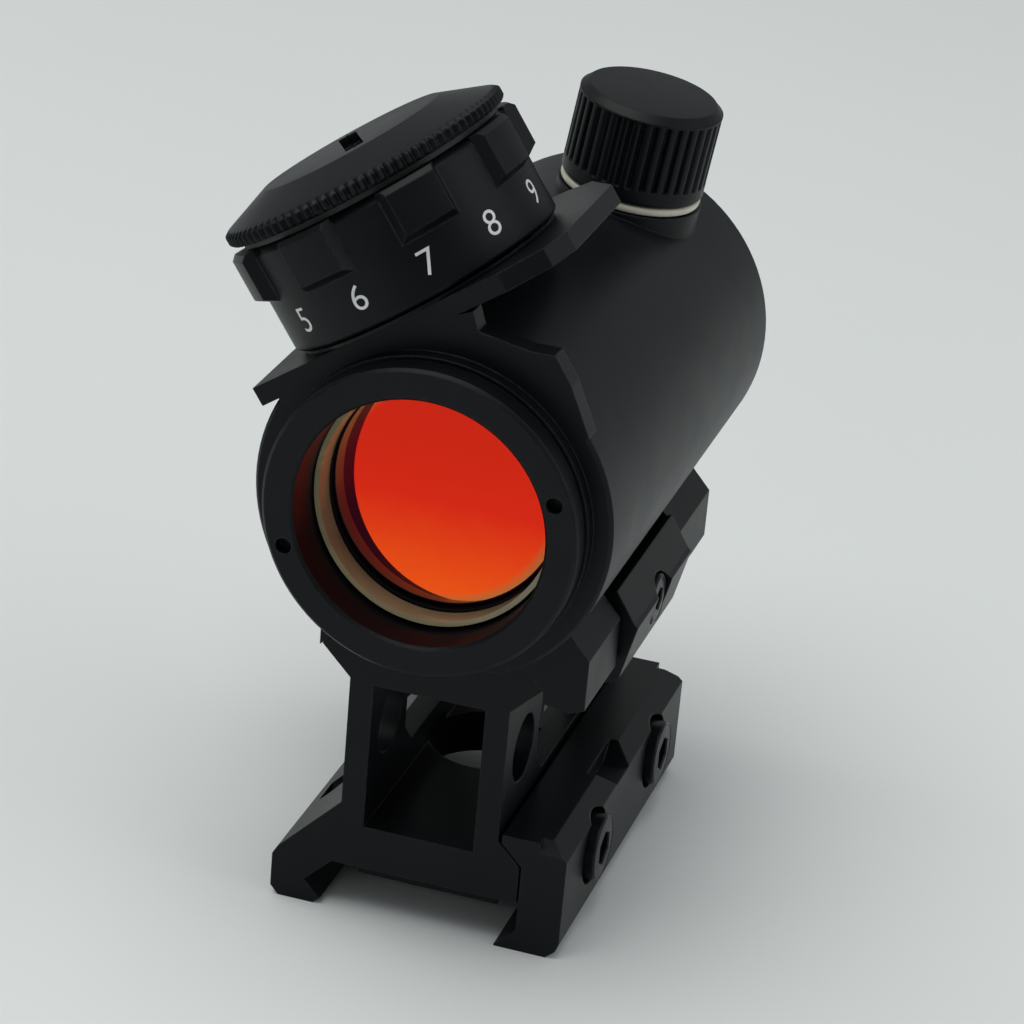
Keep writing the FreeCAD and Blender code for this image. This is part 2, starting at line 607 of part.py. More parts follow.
def build_bezel():
    body = ring("front_bezel", [
        ("aperture_radius + 0.3", "0"), ("bezel_radius - 0.3", "0"), ("bezel_radius", "0.3"),
        ("bezel_radius", "bezel_thick"), ("spigot_radius", "bezel_thick"),
        ("spigot_radius", "spigot_depth"), ("aperture_radius", "spigot_depth"), ("aperture_radius", "0.3"),
    ], set_along_sight)
    holes = []
    for side in (1, -1):
        holes.append(("%d * spanner_radius * cos(spanner_angle * 1 deg)" % side,
                      "%d * spanner_radius * sin(spanner_angle * 1 deg)" % -side,
                      "spanner_hole"))
    sweep_flat(body, "XY_Plane", "-0.5", "1.7", holes, cut=True)


def build_lens():
    """Objective lens: a leaning disc with a flat coated front and a domed back."""
    blank = doc.addObject("Part::Cylinder", "lens_blank")
    drive(blank, "Radius", "lens_radius")
    drive(blank, "Height", "lens_thick")
    drive(blank, "Placement.Base.z", "lens_front")
    dome = doc.addObject("Part::Sphere", "lens_back_face")
    drive(dome, "Radius", "lens_curve")
    drive(dome, "Placement.Base.z", "lens_front + lens_thick - lens_curve")
    lens = doc.addObject("Part::Common", "objective_lens")
    lens.Base = blank
    lens.Tool = dome
    lens.Label = "objective_lens"
    set_leaning("lens_middle")(lens)
    pieces.append(lens)


def slant_front(body, depth):
    """Trim the front of a tube parallel to the leaning lens."""
    sketch = new_sketch(body, "XY_Plane")
    sketch.AttachmentOffset = FreeCAD.Placement(
        FreeCAD.Vector(0, 0, 0), FreeCAD.Rotation(FreeCAD.Vector(1, 0, 0), number("lens_lean")))
    drive(sketch, "AttachmentOffset.Rotation.Angle", "lens_lean")
    drive(sketch, "AttachmentOffset.Base.z", depth)
    doc.recompute()
    draw_circle(sketch, "0", "0", "cell_radius + 1")
    cut = body.newObject("PartDesign::Pocket", "%s_slant" % body.Name)
    cut.Profile = sketch
    drive(cut, "Length", "0.26 * cell_radius + 1")
    doc.recompute()


def build_emitter():
    """Bracket and light source low in the inner tube, where the lens looks at them."""
    ring("emitter_bracket", [
        ("cell_bore - 1.6", "cell_back - 6"), ("cell_bore - 0.05", "cell_back - 6"),
        ("cell_bore - 0.05", "cell_back - 2.5"), ("cell_bore - 1.6", "cell_back - 2.5"),
    ], set_along_sight, angle=46, support="YZ_Plane")
    led = doc.addObject("Part::Box", "led_emitter")
    led.Length, led.Width, led.Height = 1.6, 1.2, 1.0
    led.Label = "led_emitter"
    set_along_sight(led)
    drive(led, "Placement.Base.x", "-0.8")
    drive(led, "Placement.Base.y", "front_y + cell_back - 4.9")
    drive(led, "Placement.Base.z", "axis_height - cell_bore + 2.9")
    pieces.append(led)


def build_optics():
    build_bezel()
    build_lens()
    ring("lens_spacer_ring", [
        ("lens_radius + 0.2", "spacer_middle - 1.35"),
        ("aperture_radius - 0.12", "spacer_middle - 1.35"),
        ("aperture_radius - 0.12", "spacer_middle + 1.35"),
        ("lens_radius + 0.2", "spacer_middle + 1.35"),
    ], set_leaning("spacer_middle"))
    tube = ring("inner_tube", [
        ("cell_bore", "cell_front - 0.13 * cell_radius"),
        ("cell_radius", "cell_front - 0.13 * cell_radius"),
        ("cell_radius", "cell_back"), ("cell_bore", "cell_back"),
    ], set_along_sight)
    slant_front(tube, "cell_front")
    ring("lens_retainer", [
        ("cell_bore - 1.1", "retainer_middle - 0.65"), ("cell_bore - 0.05", "retainer_middle - 0.65"),
        ("cell_bore - 0.05", "retainer_middle + 0.65"), ("cell_bore - 1.1", "retainer_middle + 0.65"),
    ], set_leaning("retainer_middle"))
    ring("pivot_ring", [
        ("cell_radius + turn_gap", "pivot_depth - 1"), ("bore_radius - 0.12", "pivot_depth - 1"),
        ("bore_radius - 0.12", "pivot_depth + 1"), ("cell_radius + turn_gap", "pivot_depth + 1"),
    ], set_along_sight)
    ring("bias_spring", [
        ("bore_radius - 0.22", "cell_back - 8.5"), ("bore_radius - 0.02", "cell_back - 8.5"),
        ("bore_radius - 0.02", "cell_back + 0.5"), ("bore_radius - 0.22", "cell_back + 0.5"),
    ], set_along_sight, angle=70)
    build_emitter()
    ring("rear_window_seal", [
        ("eye_bore - 0.85", "window_seat + 0.05"), ("eye_bore - 0.1", "window_seat + 0.05"),
        ("eye_bore - 0.1", "window_seat + 0.5"), ("eye_bore - 0.85", "window_seat + 0.5"),
    ], set_along_sight)
    ring("rear_window", [
        ("0", "window_seat + 0.55"), ("eye_bore - 0.2", "window_seat + 0.55"),
        ("eye_bore - 0.2", "window_seat + 2.2"), ("0", "window_seat + 2.2"),
    ], set_along_sight)
    ring("rear_retaining_ring", [
        ("eye_bore - 1.6", "window_seat + 2.25"), ("eye_bore - 0.05", "window_seat + 2.25"),
        ("eye_bore - 0.05", "tube_length - 0.3"), ("eye_bore - 1.2", "tube_length - 0.3"),
    ], set_along_sight)


# --- adjusters -----------------------------------------------------------

def build_turret(word, tilt, shift):
    """Seal, cap, slotted knob, keyed pin and clip of one adjuster."""
    def place(body):
        set_on_axis(body, tilt, shift, "turret_y")
    ring(word + "_seal", [
        ("stub_radius + turn_gap", "collar_top + 0.05"), ("turret_cap - 0.1", "collar_top + 0.05"),
        ("turret_cap - 0.1", "collar_top + 0.85"), ("stub_radius + turn_gap", "collar_top + 0.85"),
    ], place)
    cap = ring(word + "_cap", [
        ("cap_bore", "collar_top + 0.95"), ("turret_cap - 0.2", "collar_top + 0.95"),
        ("turret_cap", "collar_top + 1.2"), ("turret_cap", "cap_top - 0.7"),
        ("turret_cap - 0.7", "cap_top"), ("0", "cap_top"), ("0", "cap_top - 1.7"),
        ("cap_bore", "cap_top - 1.7"),
    ], place)
    flute = sweep_flat(cap, "XY_Plane", "collar_top + 2.4", "turret_high - 3.3",
                       [("turret_cap + 0.25", "0", "0.5")], cut=True)
    around(cap, flute, "flute_count")
    knob = ring(word + "_knob", [
        ("0", "collar_top - 1.55"), ("1", "collar_top - 1.55"), ("1", "collar_top + 1.7"),
        ("stub_radius - 1.06", "collar_top + 1.7"), ("stub_radius - 1.06", "stub_top - 1"),
        ("0", "stub_top - 1"),
    ], place)
    slot = [("-stub_radius + 1.9", "-0.45"), ("stub_radius - 1.9", "-0.45"),
            ("stub_radius - 1.9", "0.45"), ("-stub_radius + 1.9", "0.45")]
    sweep_flat(knob, "XY_Plane", "stub_top - 1.8", "1.5", [slot], cut=True)
    ring(word + "_pin", [
        ("0", "pin_tip"), ("pin_radius", "pin_tip + 0.3"), ("pin_radius", "collar_top + 0.55"),
        ("1.06", "collar_top + 0.55"), ("1.06", "collar_top - 2.35"), ("0", "collar_top - 2.35"),
    ], place)
    ring(word + "_clip", [
        ("stub_radius - 2.7", "stub_top - 0.85"), ("stub_radius - 1.05", "stub_top - 0.85"),
        ("stub_radius - 1.05", "stub_top - 0.35"), ("stub_radius - 2.7", "stub_top - 0.35"),
    ], place)


# --- brightness dial and battery -----------------------------------------

def build_drum():
    body = ring("dial_drum", [
        ("post_radius + 0.08", "drum_low"), ("drum_radius - 0.3", "drum_low"),
        ("drum_radius", "drum_low + 0.3"), ("drum_radius", "band_top - 0.2"),
        ("drum_radius - 0.4", "band_top"), ("drum_radius - 0.4", "drum_top"),
        ("drum_bore", "drum_top"), ("drum_bore", "drum_low + 1.7"),
        ("post_radius + 0.08", "drum_low + 1.7"),
    ], on_dial)
    lug = [
        ("drum_bore + 0.6", "-lug_width / 2"), ("lug_radius - 0.5", "-lug_width / 2"),
        ("lug_radius", "-lug_width / 2 + 0.6"), ("lug_radius", "lug_width / 2 - 0.6"),
        ("lug_radius - 0.5", "lug_width / 2"), ("drum_bore + 0.6", "lug_width / 2"),
    ]
    pad = sweep_flat(body, "XY_Plane", "band_top - 0.1", "lug_high - 0.1", [lug],
                     spin="lug_turn")
    around(body, pad, "lug_count")


def build_battery_cap():
    body = ring("battery_cap", [
        ("0", "drum_top + 0.3"), ("drum_bore - 1.2", "drum_top + 0.3"),
        ("drum_bore - 1.2", "drum_top - 0.6"), ("drum_bore - 0.08", "drum_top - 0.6"),
        ("drum_bore - 0.08", "drum_top + 0.6"), ("cap_rim - 0.3", "drum_top + 0.6"),
        ("cap_rim", "drum_top + 0.9"), ("cap_rim", "drum_top + 1.7"),
        ("cap_rim - 0.5", "drum_top + 2"), ("cap_rim - 5.05", "cap_crown"), ("0", "cap_crown"),
    ], on_dial)
    slot = [("-cap_rim + 6.35", "-0.9"), ("cap_rim - 6.35", "-0.9"), ("cap_rim - 6.35", "0.9"),
            ("-cap_rim + 6.35", "0.9")]
    sweep_flat(body, "XY_Plane", "cap_crown - 1.1", "3", [slot], cut=True, spin="slot_turn")


def build_post_screws():
    """Three small screws hold the post; they share one piece."""
    solids = []
    for turn in (30, 150, 270):
        across = number("post_screw_ring * cos(%d deg)" % turn)
        along = number("post_screw_ring * sin(%d deg)" % turn)
        shank = Part.makeCylinder(
            0.6, 3.3, FreeCAD.Vector(across, along, number("platform_top - 2.05")))
        head = Part.makeCylinder(
            1.05, 0.8, FreeCAD.Vector(across, along, number("platform_top + 1.2")))
        solids.append(shank.fuse(head).removeSplitter())
    group = doc.addObject("Part::Feature", "post_screws")
    group.Shape = Part.makeCompound(solids)
    group.Label = "post_screws"
    on_dial(group)
    pieces.append(group)


def build_post():
    """Washer and fixed post that the dial turns on."""
    washer = ring("dial_washer", [
        ("post_radius + 0.3", "washer_low"), ("drum_radius - 0.5", "washer_low"),
        ("drum_radius - 0.5", "washer_low + 0.3"), ("post_radius + 0.3", "washer_low + 0.3"),
    ], on_dial)
    sweep_flat(washer, "XY_Plane", "platform_top - 0.5", "2",
               [("-detent_ring", "0", "detent_ball + 0.15")], cut=True)
    post = ring("dial_post", [
        ("1.8", "washer_low"), ("post_radius", "washer_low"), ("post_radius", "board_low - 1.45"),
        ("post_radius - 0.5", "board_low - 1.45"), ("post_radius - 0.5", "board_low - 0.85"),
        ("post_radius", "board_low - 0.85"), ("post_radius", "board_low - 0.05"),
        ("post_radius - 1.6", "board_low - 0.05"), ("post_radius - 1.6", "platform_top + 1.15"),
        ("1.8", "platform_top + 1.15"),
    ], on_dial)
    sweep_flat(post, "XY_Plane", "platform_top - 1.45", "4", three_round("0", "0", "0.65"),
               cut=True)


def build_dial():
    build_post()
    build_post_screws()
    build_drum()
    ring("dial_clip", [
        ("post_radius - 0.45", "board_low - 1.4"), ("post_radius + 1.3", "board_low - 1.4"),
        ("post_radius + 1.3", "board_low - 0.9"), ("post_radius - 0.45", "board_low - 0.9"),
    ], on_dial)
    ring("switch_board", [
        ("0", "board_low"), ("post_radius + 1.8", "board_low"),
        ("post_radius + 1.8", "board_low + 0.75"), ("0", "board_low + 0.75"),
    ], on_dial)
    ring("contact_wiper", [
        ("post_radius - 2", "board_low + 0.85"), ("post_radius + 1.4", "board_low + 0.85"),
        ("post_radius + 1.4", "board_low + 1.2"), ("post_radius - 2", "board_low + 1.2"),
    ], on_dial, angle=60)
    ring("battery_tray", [
        ("0", "tray_low"), ("drum_bore - 0.06", "tray_low"), ("drum_bore - 0.06", "cell_low + 3.3"),
        ("cell_size + 0.2", "cell_low + 3.3"), ("cell_size + 0.2", "tray_low + 1"),
        ("0", "tray_low + 1"),
    ], on_dial)
    ring("battery_contact", [
        ("1.5", "tray_low + 1.05"), ("3.4", "tray_low + 1.05"), ("2.6", "cell_low - 0.05"),
        ("1.5", "cell_low - 0.05"),
    ], on_dial)
    ring("coin_cell", [
        ("0", "cell_low"), ("cell_size - 1.4", "cell_low"), ("cell_size - 1.2", "cell_low + 0.3"),
        ("cell_size", "cell_low + 0.5"), ("cell_size", "cell_low + cell_thick"),
        ("0", "cell_low + cell_thick"),
    ], on_dial)
    ring("cap_gasket", [
        ("drum_bore + 0.05", "drum_top + 0.05"), ("drum_radius - 0.5", "drum_top + 0.05"),
        ("drum_radius - 0.5", "drum_top + 0.5"), ("drum_bore + 0.05", "drum_top + 0.5"),
    ], on_dial)
    build_battery_cap()
    ring("cap_contact", [
        ("2", "cell_low + 3.3"), ("2.4", "cell_low + 3.3"), ("5.4", "drum_top + 0.2"),
        ("5", "drum_top + 0.2"),
    ], on_dial)


def build_detent():
    """Ball and spring under the dial, that click it from number to number."""
    across = "dial_shift - detent_ring"
    middle = "platform_top - 0.1"
    ball = doc.addObject("Part::Sphere", "detent_ball")
    drive(ball, "Radius", "detent_ball")
    ball.Label = "detent_ball"
    set_on_axis(ball, "dial_tilt", "(%s)" % across, "dial_y")
    drive(ball, "Placement.Base.x",
          "(%s) * cos(dial_tilt * 1 deg) + (%s) * sin(dial_tilt * 1 deg)" % (across, middle))
    drive(ball, "Placement.Base.z",
          "axis_height - (%s) * sin(dial_tilt * 1 deg) + (%s) * cos(dial_tilt * 1 deg)"
          % (across, middle))
    pieces.append(ball)
    ring("detent_spring", [
        ("detent_ball - 0.3", "platform_top - 2.5"), ("detent_ball - 0.05", "platform_top - 2.5"),
        ("detent_ball - 0.05", "platform_top - 0.95"), ("detent_ball - 0.3", "platform_top - 0.95"),
    ], lambda body: set_on_axis(body, "dial_tilt", "(%s)" % across, "dial_y"))


build_riser()
build_clamp_bar()
build_bolt("rail_bolt_front", "-bolt_y")
build_bolt("rail_bolt_rear", "bolt_y")
build_housing()
build_clamp_plate()
build_clamp_screw()
build_optics()
build_turret("elevation", "elev_tilt", "elev_shift")
build_turret("windage", "wind_tilt", "wind_shift")
build_dial()
build_detent()

doc.recompute()
os.makedirs("parts", exist_ok=True)
for item in doc.Objects:
    if "Invalid" in item.State or "Error" in item.State:
        raise RuntimeError("%s is in state %s" % (item.Name, item.State))
for piece in pieces:
    shape = piece.Shape
    if shape.isNull() or not shape.isValid() or not shape.Solids:
        raise RuntimeError("%s has no valid solid" % piece.Label)
    shape.exportStep("parts/%s.step" % piece.Label)
    print("%-22s %d solid(s) %9.1f mm3" % (piece.Label, len(shape.Solids), shape.Volume))
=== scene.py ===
"""Looks of a compact red dot sight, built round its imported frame.

Every length is in metres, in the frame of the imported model: +Z up, +Y from the
objective to the eye end, +X to the side of the clamp bar.
"""
import json
import logging
import math
from dataclasses import dataclass
from enum import Enum
from typing import Callable, Iterable, Optional, Sequence, Union

import bmesh
import bpy
from mathutils import Matrix, Vector


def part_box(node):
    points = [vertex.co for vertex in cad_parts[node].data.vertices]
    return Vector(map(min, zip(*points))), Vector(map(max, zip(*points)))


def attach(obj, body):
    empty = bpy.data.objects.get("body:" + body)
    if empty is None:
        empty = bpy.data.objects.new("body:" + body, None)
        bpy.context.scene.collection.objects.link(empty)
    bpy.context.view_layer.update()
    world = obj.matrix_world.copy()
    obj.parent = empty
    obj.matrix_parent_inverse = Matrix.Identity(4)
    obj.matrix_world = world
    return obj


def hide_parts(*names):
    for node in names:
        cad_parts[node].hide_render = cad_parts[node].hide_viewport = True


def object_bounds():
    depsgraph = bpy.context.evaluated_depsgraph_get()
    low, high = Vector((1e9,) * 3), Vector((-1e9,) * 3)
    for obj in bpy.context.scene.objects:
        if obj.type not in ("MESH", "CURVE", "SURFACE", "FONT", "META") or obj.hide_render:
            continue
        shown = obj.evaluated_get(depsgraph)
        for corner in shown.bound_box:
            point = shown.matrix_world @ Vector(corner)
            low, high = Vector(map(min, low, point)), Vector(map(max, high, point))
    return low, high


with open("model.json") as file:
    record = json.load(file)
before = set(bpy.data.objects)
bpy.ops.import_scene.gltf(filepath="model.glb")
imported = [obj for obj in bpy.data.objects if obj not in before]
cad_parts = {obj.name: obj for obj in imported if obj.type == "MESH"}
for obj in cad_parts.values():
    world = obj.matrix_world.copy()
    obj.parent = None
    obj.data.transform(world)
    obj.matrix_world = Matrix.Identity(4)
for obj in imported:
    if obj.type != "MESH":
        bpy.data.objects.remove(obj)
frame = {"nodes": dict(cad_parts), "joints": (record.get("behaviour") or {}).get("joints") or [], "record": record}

CAD_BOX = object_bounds()
MM = 0.001
SLACK = 0.01 * MM
LOG = logging.getLogger("red_dot_sight")

Radius = Union[float, Callable[[float], float]]
Profile = Sequence[tuple[Radius, float]]
Colour = tuple[float, float, float]
Place = tuple[float, float, float]


# --- shader graphs -------------------------------------------------------

class Sock:
    """One output of a shader node; arithmetic on it adds Math nodes."""

    def __init__(self, graph: "Graph", socket: bpy.types.NodeSocket) -> None:
        """Keeps the graph and the output socket."""
        self.graph = graph
        self.socket = socket

    def _math(self, operation: str, first: "Value", second: "Value" = 0.0) -> "Sock":
        """Adds one Math node.

        Args:
            operation: The Math node's operation.
            first: Its first value.
            second: Its second value.

        Returns:
            The node's result.
        """
        return self.graph.node("ShaderNodeMath", {"operation": operation}, {0: first, 1: second})

    def __add__(self, other: "Value") -> "Sock":
        """Sum."""
        return self._math("ADD", self, other)

    def __radd__(self, other: "Value") -> "Sock":
        """Sum, reflected."""
        return self._math("ADD", other, self)

    def __sub__(self, other: "Value") -> "Sock":
        """Difference."""
        return self._math("SUBTRACT", self, other)

    def __rsub__(self, other: "Value") -> "Sock":
        """Difference, reflected."""
        return self._math("SUBTRACT", other, self)

    def __mul__(self, other: "Value") -> "Sock":
        """Product."""
        return self._math("MULTIPLY", self, other)

    def __rmul__(self, other: "Value") -> "Sock":
        """Product, reflected."""
        return self._math("MULTIPLY", other, self)

    def clamped(self, low: float, high: float) -> "Sock":
        """The value stretched so that low becomes 0 and high becomes 1, held between them."""
        return self.graph.node("ShaderNodeMapRange", {"clamp": True},
                               {"Value": self, "From Min": low, "From Max": high})


Value = Union[Sock, float]


class Graph:
    """A material's or the world's node tree, built from its surface backwards."""

    def __init__(self, tree: bpy.types.NodeTree) -> None:
        """Empties the tree."""
        self.tree = tree
        tree.nodes.clear()

    def node(self, kind: str, settings: dict, sockets: dict, output: Union[int, str] = 0) -> Sock:
        """Adds a node of any type.

        Args:
            kind: The node's type.
            settings: Its own settings, set first.
            sockets: Values or links of its inputs, by name or number.
            output: The output wanted.

        Returns:
            That output.
        """
        made = self.tree.nodes.new(kind)
        for name, value in settings.items():
            setattr(made, name, value)
        for key, value in sockets.items():
            if isinstance(value, Sock):
                self.tree.links.new(value.socket, made.inputs[key])
            else:
                made.inputs[key].default_value = value
        return Sock(self, made.outputs[output])

    def place(self, scale: Colour = (1.0, 1.0, 1.0)) -> Sock:
        """Object coordinates, multiplied by scale along each axis."""
        raw = self.node("ShaderNodeTexCoord", {}, {}, "Object")
        return self.node("ShaderNodeMapping", {}, {"Vector": raw, "Scale": scale})

    def noise(self, where: Sock, size: float, detail: float = 2.0, rough: float = 0.5) -> Sock:
        """Adds soft noise.

        Args:
            where: The coordinates it reads.
            size: About how wide its patches are, in metres.
            detail: Layers of finer noise.
            rough: How strong each finer layer is.

        Returns:
            The noise, 0 to 1.
        """
        sockets = {"Vector": where, "Scale": 1.0 / size, "Detail": detail, "Roughness": rough}
        return self.node("ShaderNodeTexNoise", {}, sockets)

    def blend(self, share: Value, first: Union[Sock, Colour], second: Union[Sock, Colour]) -> Sock:
        """Mixes two colours.

        Args:
            share: How much of the second, 0 to 1.
            first: The first colour.
            second: The second colour.

        Returns:
            The mixed colour.
        """
        ends = {6: first, 7: second}
        full = {key: c if isinstance(c, Sock) else (*c, 1.0) for key, c in ends.items()}
        return self.node("ShaderNodeMix", {"data_type": "RGBA"}, {0: share, **full}, 2)

    def rounded(self, radius: float) -> Sock:
        """Eases the edges of the shape in its shading.

        Args:
            radius: How far the easing reaches, in metres.

        Returns:
            The eased normal.
        """
        return self.node("ShaderNodeBevel", {"samples": 4}, {"Radius": radius})

    def edges(self, eased: Sock) -> Sock:
        """1 on edges and 0 on flats, from an eased normal."""
        true = self.node("ShaderNodeNewGeometry", {}, {}, "Normal")
        same = self.node("ShaderNodeVectorMath", {"operation": "DOT_PRODUCT"},
                         {0: eased, 1: true}, "Value")
        return (1.0 - same).clamped(0.01, 0.22)

    def bump(self, height: Sock, depth: float, normal: Optional[Sock] = None) -> Sock:
        """Roughens the surface.

        Args:
            height: The relief, 0 to 1.
            depth: What a height of 1 is worth, in metres.
            normal: The normal it starts from, where that isn't the shape's own.

        Returns:
            The roughened normal.
        """
        sockets = {"Height": height, "Distance": depth, "Strength": 1.0}
        if normal is not None:
            sockets["Normal"] = normal
        return self.node("ShaderNodeBump", {}, sockets)

    def surface(self, **sockets: Union[Sock, float, Colour]) -> None:
        """Ends the tree in a Principled shader; underscores in names stand for spaces."""
        named = {key.replace("_", " "): value for key, value in sockets.items()}
        for key, value in named.items():
            if isinstance(value, tuple) and len(value) == 3:
                named[key] = (*value, 1.0)
        shader = self.node("ShaderNodeBsdfPrincipled", {}, named, "BSDF")
        out = self.tree.nodes.new("ShaderNodeOutputMaterial")
        self.tree.links.new(shader.socket, out.inputs["Surface"])


# --- finishes ------------------------------------------------------------

@dataclass(frozen=True)
class Finish:
    """What every finish has: a name, a colour and a roughness."""

    name: str
    colour: Colour
    rough: float

    def build(self, graph: Graph) -> None:
        """Fills the material's tree."""
        raise NotImplementedError

    def material(self) -> bpy.types.Material:
        """A new material with this finish."""
        made = bpy.data.materials.new(self.name)
        made.use_nodes = True
        self.build(Graph(made.node_tree))
        return made


@dataclass(frozen=True)
class Anodised(Finish):
    """Bead-blasted aluminium, dyed black and sealed, a little paler on its edges."""

    worn: Colour = (0.075, 0.078, 0.082)
    grain: float = 0.00011
    patches: float = 0.006
    edge: float = 0.00022
    wear: float = 0.5
    relief: float = 0.000006
    sheen: float = 0.17
    dust: float = 0.0006

    def build(self, graph: Graph) -> None:
        """Grain, faint patches and worn edges."""
        where = graph.place()
        grain = graph.noise(where, self.grain, 2.0, 0.6)
        cloud = graph.noise(where, self.patches, 4.0, 0.6)
        scuff = graph.noise(where, self.patches * 0.12, 3.0, 0.7)
        eased = graph.rounded(self.edge)
        mask = graph.edges(eased) * scuff.clamped(0.35, 0.65) * self.wear
        dusty = tuple(c * 1.5 + self.dust for c in self.colour)
        body = graph.blend(cloud.clamped(0.35, 0.75), self.colour, dusty)
        graph.surface(
            Base_Color=graph.blend(mask, body, self.worn),
            Roughness=self.rough + (cloud - 0.5) * 0.14 + (grain - 0.5) * 0.10,
            Normal=graph.bump(grain, self.relief, eased),
            Specular_IOR_Level=self.sheen,
        )


@dataclass(frozen=True)
class Steel(Finish):
    """Turned or stamped metal with fine tool marks."""

    metallic: float = 1.0
    grain: float = 0.00005
    relief: float = 0.000003

    def build(self, graph: Graph) -> None:
        """Fine marks and small patches."""
        marks = graph.noise(graph.place((1.0, 1.0, 6.0)), self.grain, 2.0)
        cloud = graph.noise(graph.place(), 0.0015, 3.0)
        darker = tuple(c * 0.72 for c in self.colour)
        graph.surface(
            Base_Color=graph.blend(cloud.clamped(0.3, 0.7), self.colour, darker),
            Metallic=self.metallic,
            Roughness=self.rough + (cloud - 0.5) * 0.16,
            Normal=graph.bump(marks, self.relief, graph.rounded(0.00008)),
        )


@dataclass(frozen=True)
class Moulded(Finish):
    """Moulded plastic, rubber or paint, with a faint skin."""

    coat: float = 0.0
    pits: float = 0.0002
    relief: float = 0.000004

    def build(self, graph: Graph) -> None:
        """Soft pits and uneven tone."""
        where = graph.place()
        pits = graph.noise(where, self.pits, 2.0)
        cloud = graph.noise(where, 0.002, 3.0)
        shade = tuple(c * 0.86 for c in self.colour)
        graph.surface(
            Base_Color=graph.blend(cloud.clamped(0.3, 0.7), self.colour, shade),
            Roughness=self.rough + (cloud - 0.5) * 0.12,
            Coat_Weight=self.coat,
            Normal=graph.bump(pits, self.relief),
        )


@dataclass(frozen=True)
class MirrorCoat(Finish):
    """Dichroic coating that throws back red light, shifting to orange low down."""

    low_colour: Colour = (1.0, 0.115, 0.004)
    low: float = 0.0288
    high: float = 0.0385
    alpha: float = 0.96
    middle: Place = (0.0, -0.0193, 0.0398)
    # Painted reflection: the cream spacer ring mirrored as an amber band on the lens's outer rim, fading in
    # between these two radii.
    rim_colour: Colour = (0.42, 0.17, 0.04)
    rim_start: float = 0.0096
    rim_full: float = 0.0107
    # Painted reflection: a faint violet emission that stands in for the dark tube seen violet in the lens's back
    # face.
    veil: Colour = (0.0090, 0.0014, 0.0055)

    def build(self, graph: Graph) -> None:
        """A tinted mirror with a painted violet glow for the violet reflection off the lens's back face, and a
        painted amber reflection of the cream ring at its rim, with hairline polish marks.
        """
        where = graph.node("ShaderNodeTexCoord", {}, {}, "Object")
        out = graph.node("ShaderNodeVectorMath", {"operation": "DISTANCE"},
                         {0: where, 1: self.middle}, "Value")
        height = graph.node("ShaderNodeSeparateXYZ", {}, {"Vector": where}, "Z")
        haze = graph.noise(graph.place(), 0.0022, 3.0)
        share = (height + (haze - 0.5) * 0.002).clamped(self.low, self.high)
        graph.surface(
            # The outer rim is painted amber as the cream ring's reflection.
            Base_Color=graph.blend(out.clamped(self.rim_start, self.rim_full),
                                   graph.blend(share, self.low_colour, self.colour),
                                   self.rim_colour),
            Metallic=1.0,
            Roughness=self.rough + haze * 0.012,
            Alpha=self.alpha,
            # Painted violet glow: the lens is no lamp; this emission stands in for a reflection.
            Emission_Color=self.veil,
            Emission_Strength=1.0,
            Normal=graph.bump(haze, 0.0000004),
        )


@dataclass(frozen=True)
class ClearGlass(Finish):
    """Coated window, almost clear."""

    alpha: float = 0.22
    smear_colour: Colour = (0.30, 0.42, 0.46)

    def build(self, graph: Graph) -> None:
        """Faint colour and a smooth face."""
        smear = graph.noise(graph.place(), 0.003, 3.0)
        graph.surface(
            Base_Color=graph.blend(smear.clamped(0.3, 0.7), self.colour, self.smear_colour),
            Roughness=self.rough + smear * 0.03,
            Alpha=self.alpha,
            Coat_Weight=0.6,
        )


@dataclass(frozen=True)
class Paper(Finish):
    """The pale seamless sheet that the sight stands on."""

    def build(self, graph: Graph) -> None:
        """A matt sheet with a very faint tooth."""
        where = graph.place()
        tooth = graph.noise(where, 0.0006, 2.0)
        cloud = graph.noise(where, 0.08, 2.0)
        shade = tuple(c * 0.96 for c in self.colour)
        graph.surface(
            Base_Color=graph.blend(cloud, self.colour, shade),
            Roughness=self.rough + (tooth - 0.5) * 0.05,
            Normal=graph.bump(tooth, 0.000004),
        )


class Slot(Enum):
    """The record's material slots, each with its finish."""

    ANODISED_BLACK = Anodised("anodised_black", (0.0020, 0.0028, 0.0040), 0.42)
    ANODISED_BAR = Anodised("anodised_bar", (0.0026, 0.0034, 0.0046), 0.38, patches=0.009)
    BLACK_STEEL = Anodised("black_oxide_steel", (0.0035, 0.0042, 0.0052), 0.30, grain=0.00006,
                           patches=0.002, edge=0.00012)
    PLAIN_STEEL = Steel("plain_steel", (0.55, 0.55, 0.57), 0.28)
    BRASS = Steel("turned_brass", (0.72, 0.50, 0.22), 0.25)
    CREAM_RING = Moulded("cream_spacer", (0.46, 0.38, 0.22), 0.30, coat=0.3)
    CREAM_SEAL = Moulded("cream_seal", (0.66, 0.63, 0.52), 0.40)
    BLACK_SEAL = Moulded("black_rubber", (0.012, 0.012, 0.012), 0.60)
    RED_LENS = MirrorCoat("red_mirror_coat", (0.92, 0.029, 0.004), 0.012)
    CLEAR_LENS = ClearGlass("clear_window", (0.22, 0.34, 0.40), 0.03)
    BOARD = Moulded("green_board", (0.02, 0.12, 0.05), 0.35, coat=0.4)
    TRAY_PLASTIC = Moulded("black_plastic", (0.020, 0.020, 0.021), 0.45)
    COIN_STEEL = Steel("nickel", (0.70, 0.69, 0.67), 0.18)
    LED_RED = Moulded("red_emitter", (0.70, 0.04, 0.03), 0.20, coat=0.8)


class Finishes:
    """Makes each material once and hands it out."""

    def __init__(self) -> None:
        """Starts with none made."""
        self.made: dict[str, bpy.types.Material] = {}

    def get(self, finish: Union[Slot, Finish]) -> bpy.types.Material:
        """The material of a slot or of a finish of its own."""
        wanted = finish.value if isinstance(finish, Slot) else finish
        if wanted.name not in self.made:
            self.made[wanted.name] = wanted.material()
        return self.made[wanted.name]


